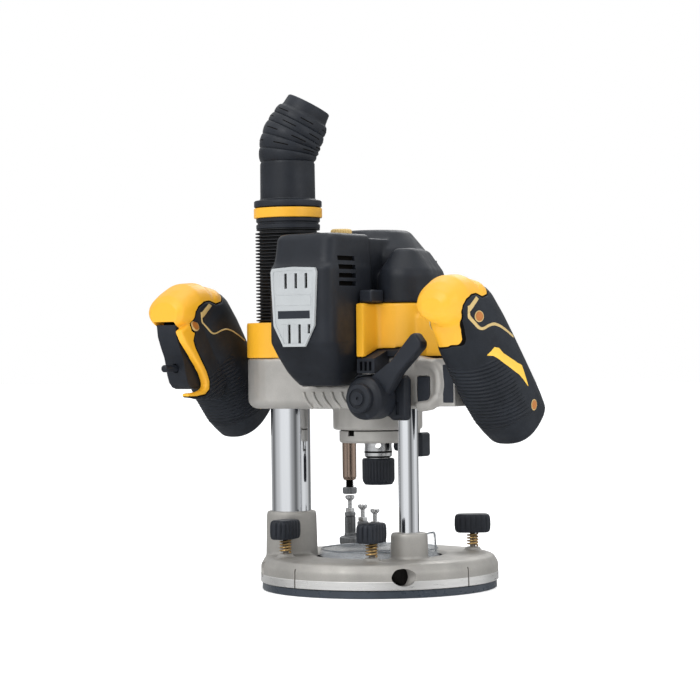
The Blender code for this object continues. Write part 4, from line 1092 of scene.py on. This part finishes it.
def casting():
    """Rounded casting, with cooling fins under the motor and an open arm beside the lever."""
    arm = resample([(71, 181), (84, 178.5), (89.4, 172), (90.4, 163), (89, 154), (82, 147.6), (70, 146)], 30)
    frame_arm = tube([vec(x, -48.5, z) for x, z in arm], 4.6, 14)
    skin = remeshed(merge(cad_copy("carriage_casting"), frame_arm), 1.25, 5)
    round_lower_left(skin)
    body = merge(skin, *cooling_fins(skin))
    solid("carriage_body", body, "cast_body", "carriage", ("carriage_casting",))
    # Near-black plates in the gap between the cover and the casting arms: painted shade in the gap.
    gap_shade = merge(block((60, -45, 182.2), (102.5, -19, 184.8)),
                   block((-102.5, -29, 182.2), (-84, -11, 184.8)))
    solid("arm_gasket", gap_shade, "seam", "carriage")
    # Black plates inside the right arm of the casting: painted shade in its openings.
    opening_shade = merge(block((71, -51.2, 148), (82, -47, 169)), block((93.6, -50.6, 149), (103, -49.4, 178)))
    solid("arm_window", opening_shade, "black_plastic", "carriage", width=1.0)


def cover():
    skin = remeshed(cad_copy("yellow_cover"), 1.25, 4)
    solid("cover_skin", skin, "yellow_plastic", "carriage", ("yellow_cover",))


# ---- motor housing

# height, half width and front face of each section of the nose
NOSE = [(162.5, 19, -86), (167, 21.5, -90.5), (173, 24.4, -95.4), (186, 28, -103.5), (196, 30, -109),
        (253, 30, -109), (257, 29.2, -105.2), (262, 28.8, -103.8), (276, 28.4, -101.5), (279, 27, -99.5),
        (280, 24, -96)]
NOSE_BACK = -50
VENTS = (258.6, 251.9, 245.4, 239.2)
DIAL = (15, -70)
POD_LOW = 226.3


def nose_section(height, half, front):
    """Rounded rectangle across the nose, with large corners in front and small ones behind."""
    corner, back, ring = min(10.5, (NOSE_BACK - front) / 3), NOSE_BACK - 2, []
    for cx, cy, start, radius in ((half - corner, front + corner, -90, corner), (half - 2, back, 0, 2),
                                  (2 - half, back, 90, 2), (corner - half, front + corner, 180, corner)):
        for k in range(7):
            a = math.radians(start + 15 * k)
            ring.append(vec(cx + radius * math.cos(a), cy + radius * math.sin(a), height))
    return ring


def housing():
    """Both halves of the housing as one skin, with the parting line drawn between them."""
    nose = loft([nose_section(*section) for section in NOSE])
    dome = [(0, 285), (25, 285), (28.5, 283), (40, 269), (42, 262), (42, POD_LOW), (0, POD_LOW)]
    bridge = block((-27, -62, POD_LOW), (27, -20, 277))
    pod_circles = [(*GUIDE, 21.5), (40, 12, 15)]
    pod = loft([[vec(x, y, z) for x, y in hull(pod_circles, grow)]
                for z, grow in ((POD_LOW, 0), (247, 0), (252, -1.6), (266.5, -11.5), (268.5, -13.8))])
    skin = remeshed(merge(nose, lathe(dome, steps=96), bridge, pod), 1.2, 4)
    vents = merge(*[block((24, -95.4, z), (40, -72.6, z + 3.6)) for z in VENTS])
    dial_well = lathe([(0, 277.6), (9, 277.6), (9, 290), (0, 290)], DIAL, 48)
    guide_bore = lathe([(0, 220), (8.8, 220), (8.8, 264), (0, 264)], GUIDE, 64)
    skin = combine(skin, [vents, dial_well, guide_bore])
    # Near-black plates close the vents just behind the skin: painted shade inside the vents.
    backs = merge(*[block((23, -95.9, z - 0.5), (26.5, -72.1, z + 4.1)) for z in VENTS])
    solid("vent_backs", backs, "seam", "carriage")

    def parting(point):
        if point.y > -60 and point.z < 250:
            return -1.0
        line = 3.4 * (clamped((186 - point.z) / 3) - clamped((173 - point.z) / 2)) - 1.0
        return 0.32 - abs(point.x - line)

    split_by(skin, parting, 0)
    obj = solid("housing_skin", skin, "black_plastic", "carriage", ("housing_left", "housing_right"))
    obj.data.materials.append(MAT["seam"])
    rib = block((31.5, -71, 226.4), (43, -54, 236))
    solid("housing_block", rib, "black_plastic", "carriage", width=1.4, segments=3)


def grille():
    """Louvre plate: raised frame, slots above and below two plain bars, with painted shade on a backing
    behind the slots.
    """
    outline = [(-20, 253), (0, 254), (20, 253), (21.3, 250), (19, 209), (10, 193), (-10, 193), (-19, 209),
               (-21.3, 250)]
    shift, front, middle = -1.6, -111.5, 223.5

    def plate(scale, low, high):
        ring = [(x * scale + shift, (z - middle) * (1 + (scale - 1) * 0.72) + middle) for x, z in outline]
        return loft([[vec(x, y, z) for x, z in ring] for y in (low, high)])

    slots = []
    for row, low, high in (((-9.2, 0.4, 10.0), 237.5, 249), ((-6.2, 3.4, 12.4), 195.5, 210)):
        for x in row:
            bottom = low + (7.5 if abs(x) > 10.5 and low < 200 else 0)
            slots.append(block((x - 1.3, -113, bottom), (x + 1.3, -109.0, high)))
            slots.append(block((x - 5.4, -113, bottom), (x - 3.0, -110.9, high)))
    body = combine(plate(1, front, -109.2), [plate(0.9, -113, front + 0.5)] + slots)
    solid("grille_plate", body, "grille_plastic", "carriage", ("front_grille",), 0.35)
    # Near-black plate behind the slots: painted shade inside them.
    backing = plate(0.96, -109.35, -108.9)
    solid("grille_backing", backing, "seam", "carriage")
    bar = block((shift - 16.2, front + 0.05, 224.5), (shift + 16.2, -110.6, 232.4))
    solid("grille_bar", bar, "grille_plastic", "carriage", width=0.5)
    strip = block((shift - 15.0, front + 0.2, 214.4), (shift + 15.0, -110.6, 220.4))
    solid("grille_strip", strip, "black_plastic", "carriage", width=0.4)


def dial():
    wheel = [(0, 283.5, 0), (6.9, 283.5, 0), (7.8, 282.9, 0.2), (8.3, 282, 0.5), (8.3, 277.8, 0.5),
             (0, 277.8, 0)]
    solid("dial_wheel", fluted(wheel, DIAL, 24, 2), "dial_plastic", "dial", ("speed_dial",))


# ---- plunge lock lever

HUB_X, HUB_Z, HUB_FRONT = 43, 153, -92
LEVER_RISE = math.radians(45)


def lever():
    """Stepped hub, raked arm and bolt of the plunge lock, and the bracket behind them."""
    profile = [(0, 1.2), (1.1, 1.2), (1.3, 0.0), (5.2, -0.6), (5.4, 0.9), (7.4, 0.9), (7.6, 0.0), (10.6, 0.4),
               (11.2, 1.6), (11.2, 5.6), (12.6, 6), (14.4, 6.9), (16.2, 9.0), (16.5, 11), (16.5, 28), (0, 28)]
    hub = turned_along((HUB_X, HUB_FRONT, HUB_Z), (HUB_X, 0, HUB_Z), profile, 96)
    solid("lever_hub", hub, "black_plastic", "lever")
    outline = [(0, -11.5), (20, -8.6), (34, -6.2), (61, -6.8), (64, -4), (65, 5), (62, 7), (34, 6), (16, 10),
               (0, 13)]
    turn = Matrix.Rotation(LEVER_RISE, 2)
    rings = []
    for inset, depth in ((1.6, 0), (0.4, 1.2), (0, 3), (0, 8), (0.4, 9.8), (1.6, 11)):
        ring = []
        for reach, height in rounded(outline, 4, True):
            spot = turn @ Vector((reach - (inset if reach > 50 else 0), height * (1 - inset / 8)))
            ring.append(vec(HUB_X + spot.x, depth - 77, HUB_Z + spot.y))
        rings.append(ring)
    solid("lever_arm", loft(rings), "black_plastic", "lever", ("lock_lever",), angle=50)
    bolt = rod((HUB_X, -90, HUB_Z), (HUB_X, -55, HUB_Z), 2.6, 24)
    solid("lever_pin", bolt, "steel", "lever", ("lever_bolt",))
    skin = remeshed(cad_copy("lever_bracket"), 0.9, 4)
    skin = combine(skin, [block((58.2, -66, 140), (61.4, -60.8, 150))], "FAST")
    solid("lever_mount", skin, "black_plastic", "carriage", ("lever_bracket",))


def build():
    columns()
    bellows()
    spout()
    base()
    clamps()
    turret()
    depth_rod()
    collet_parts()
    casting()
    cover()
    housing()
    grille()
    dial()
    lever()
    for side in (-1, 1):
        handle(side)
    trigger_piece()
    done = {name for obj in bpy.data.objects for name in obj.get("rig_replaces", [])}
    for node in sorted(set(NODES) - done):
        refine(node)


build()


# ---- stage

LAMPS = [("key", -38, 1.25, 1.5, 0.9, 9), ("fill", 48, 0.7, 1.7, 1.0, 4), ("rim", 165, 1.3, 1.3, 0.8, 6),
         ("top", 0, 1.9, 0.1, 1.2, 6)]


def studio():
    scene = bpy.context.scene
    scene.view_settings.view_transform = "Standard"
    mesh = bpy.data.meshes.new("floor")
    mesh.from_pydata([(-9, -9, 0), (9, -9, 0), (9, 9, 0), (-9, 9, 0)], [], [(0, 1, 2, 3)])
    floor = bpy.data.objects.new("floor", mesh)
    floor.location.z = -0.0002
    scene.collection.objects.link(floor)
    paint = surface("floor", (0.9, 0.9, 0.9), 0.7, blotch=0.01, blotch_scale=2, bump=0.01)
    shader = paint.node_tree.nodes["Principled BSDF"]
    shader.inputs["Emission Color"].default_value = (1, 1, 1, 1)
    shader.inputs["Emission Strength"].default_value = 0.5
    mesh.materials.append(paint)
    floor.visible_glossy = False
    light_world(scene)
    add_camera(scene)
    for name, turn, height, distance, size, power in LAMPS:
        light = bpy.data.lights.new(name, "AREA")
        light.size = size
        light.energy = power
        lamp = bpy.data.objects.new(name, light)
        a = VIEW_TURN + math.radians(turn)
        lamp.location = (math.sin(a) * distance, -math.cos(a) * distance, height)
        lamp.rotation_euler = (Vector((0, 0, 0.17)) - lamp.location).to_track_quat("-Z", "Y").to_euler()
        scene.collection.objects.link(lamp)


PANELS = [(0.0, 0.42), (0.08, 0.5), (0.17, 0.16), (0.27, 0.62), (0.36, 0.95), (0.46, 0.98), (0.53, 0.36),
          (0.58, 0.10), (0.64, 0.5), (0.72, 0.9), (0.80, 0.7), (0.87, 0.14), (0.94, 0.2), (1.0, 0.42)]


def light_world(scene):
    """White for the camera; mirror rays see soft panels around the horizon, so that chrome shows bands."""
    world = bpy.data.worlds.new("studio")
    scene.world = world
    world.use_nodes = True
    nodes, links = world.node_tree.nodes, world.node_tree.links
    background = nodes["Background"]
    coords = nodes.new("ShaderNodeTexCoord")

    def maths(operation, *items):
        return maths_node(nodes, links, operation, *items)

    def dot(direction):
        return dot_with(nodes, links, coords.outputs["Generated"], direction)

    def ramp(value, stops):
        node = nodes.new("ShaderNodeValToRGB")
        node.color_ramp.interpolation = "EASE"
        elements = node.color_ramp.elements
        elements[0].position, elements[-1].position = stops[0][0], stops[-1][0]
        for position, _ in stops[1:-1]:
            elements.new(position)
        for element, (_, tone) in zip(elements, stops):
            element.color = (tone * 0.97, tone * 0.985, tone, 1)
        links.new(value, node.inputs["Fac"])
        return node.outputs["Color"]

    def blend(factor, first, second):
        node = nodes.new("ShaderNodeMix")
        node.data_type = "RGBA"
        links.new(factor, node.inputs["Factor"])
        for socket, item in ((node.inputs["A"], first), (node.inputs["B"], second)):
            if isinstance(item, tuple):
                socket.default_value = item
            else:
                links.new(item, socket)
        return node.outputs["Result"]

    turn = maths("ARCTAN2", dot(VIEW_RIGHT), dot(VIEW_BACK))
    around = ramp(maths("MULTIPLY_ADD", turn, 0.5 / math.pi, 0.5), PANELS)
    up = dot((0, 0, 1))
    above = ramp(maths("MULTIPLY_ADD", up, 0.5, 0.5), [(0.0, 0.22), (0.30, 0.30), (0.55, 0.55), (0.95, 1.0)])
    steep = maths("SMOOTH_MIN", maths("MULTIPLY", maths("ABSOLUTE", up), 2.2), 1.0, 0.2)
    panels = blend(steep, around, above)
    path = nodes.new("ShaderNodeLightPath")
    seen = blend(path.outputs["Is Glossy Ray"], above, panels)
    links.new(blend(path.outputs["Is Camera Ray"], seen, (1, 1, 1, 1)), background.inputs["Color"])
    background.inputs["Strength"].default_value = 1.0


def add_camera(scene):
    roll, distance = math.radians(0.7), 1.85
    target = VIEW_RIGHT * -0.02165 + Vector((0, SPINDLE_Y / 1000, 0.19))
    up = Vector((0, 0, 1))
    side = VIEW_RIGHT * math.cos(roll) - up * math.sin(roll)
    top = up * math.cos(roll) + VIEW_RIGHT * math.sin(roll)
    data = bpy.data.cameras.new("camera")
    data.lens = 118.6
    data.sensor_width = 36
    camera = bpy.data.objects.new("camera", data)
    facing = Matrix((side, top, VIEW_BACK)).transposed().to_4x4()
    camera.matrix_world = Matrix.Translation(target + VIEW_BACK * distance) @ facing
    scene.collection.objects.link(camera)
    scene.camera = camera


studio()
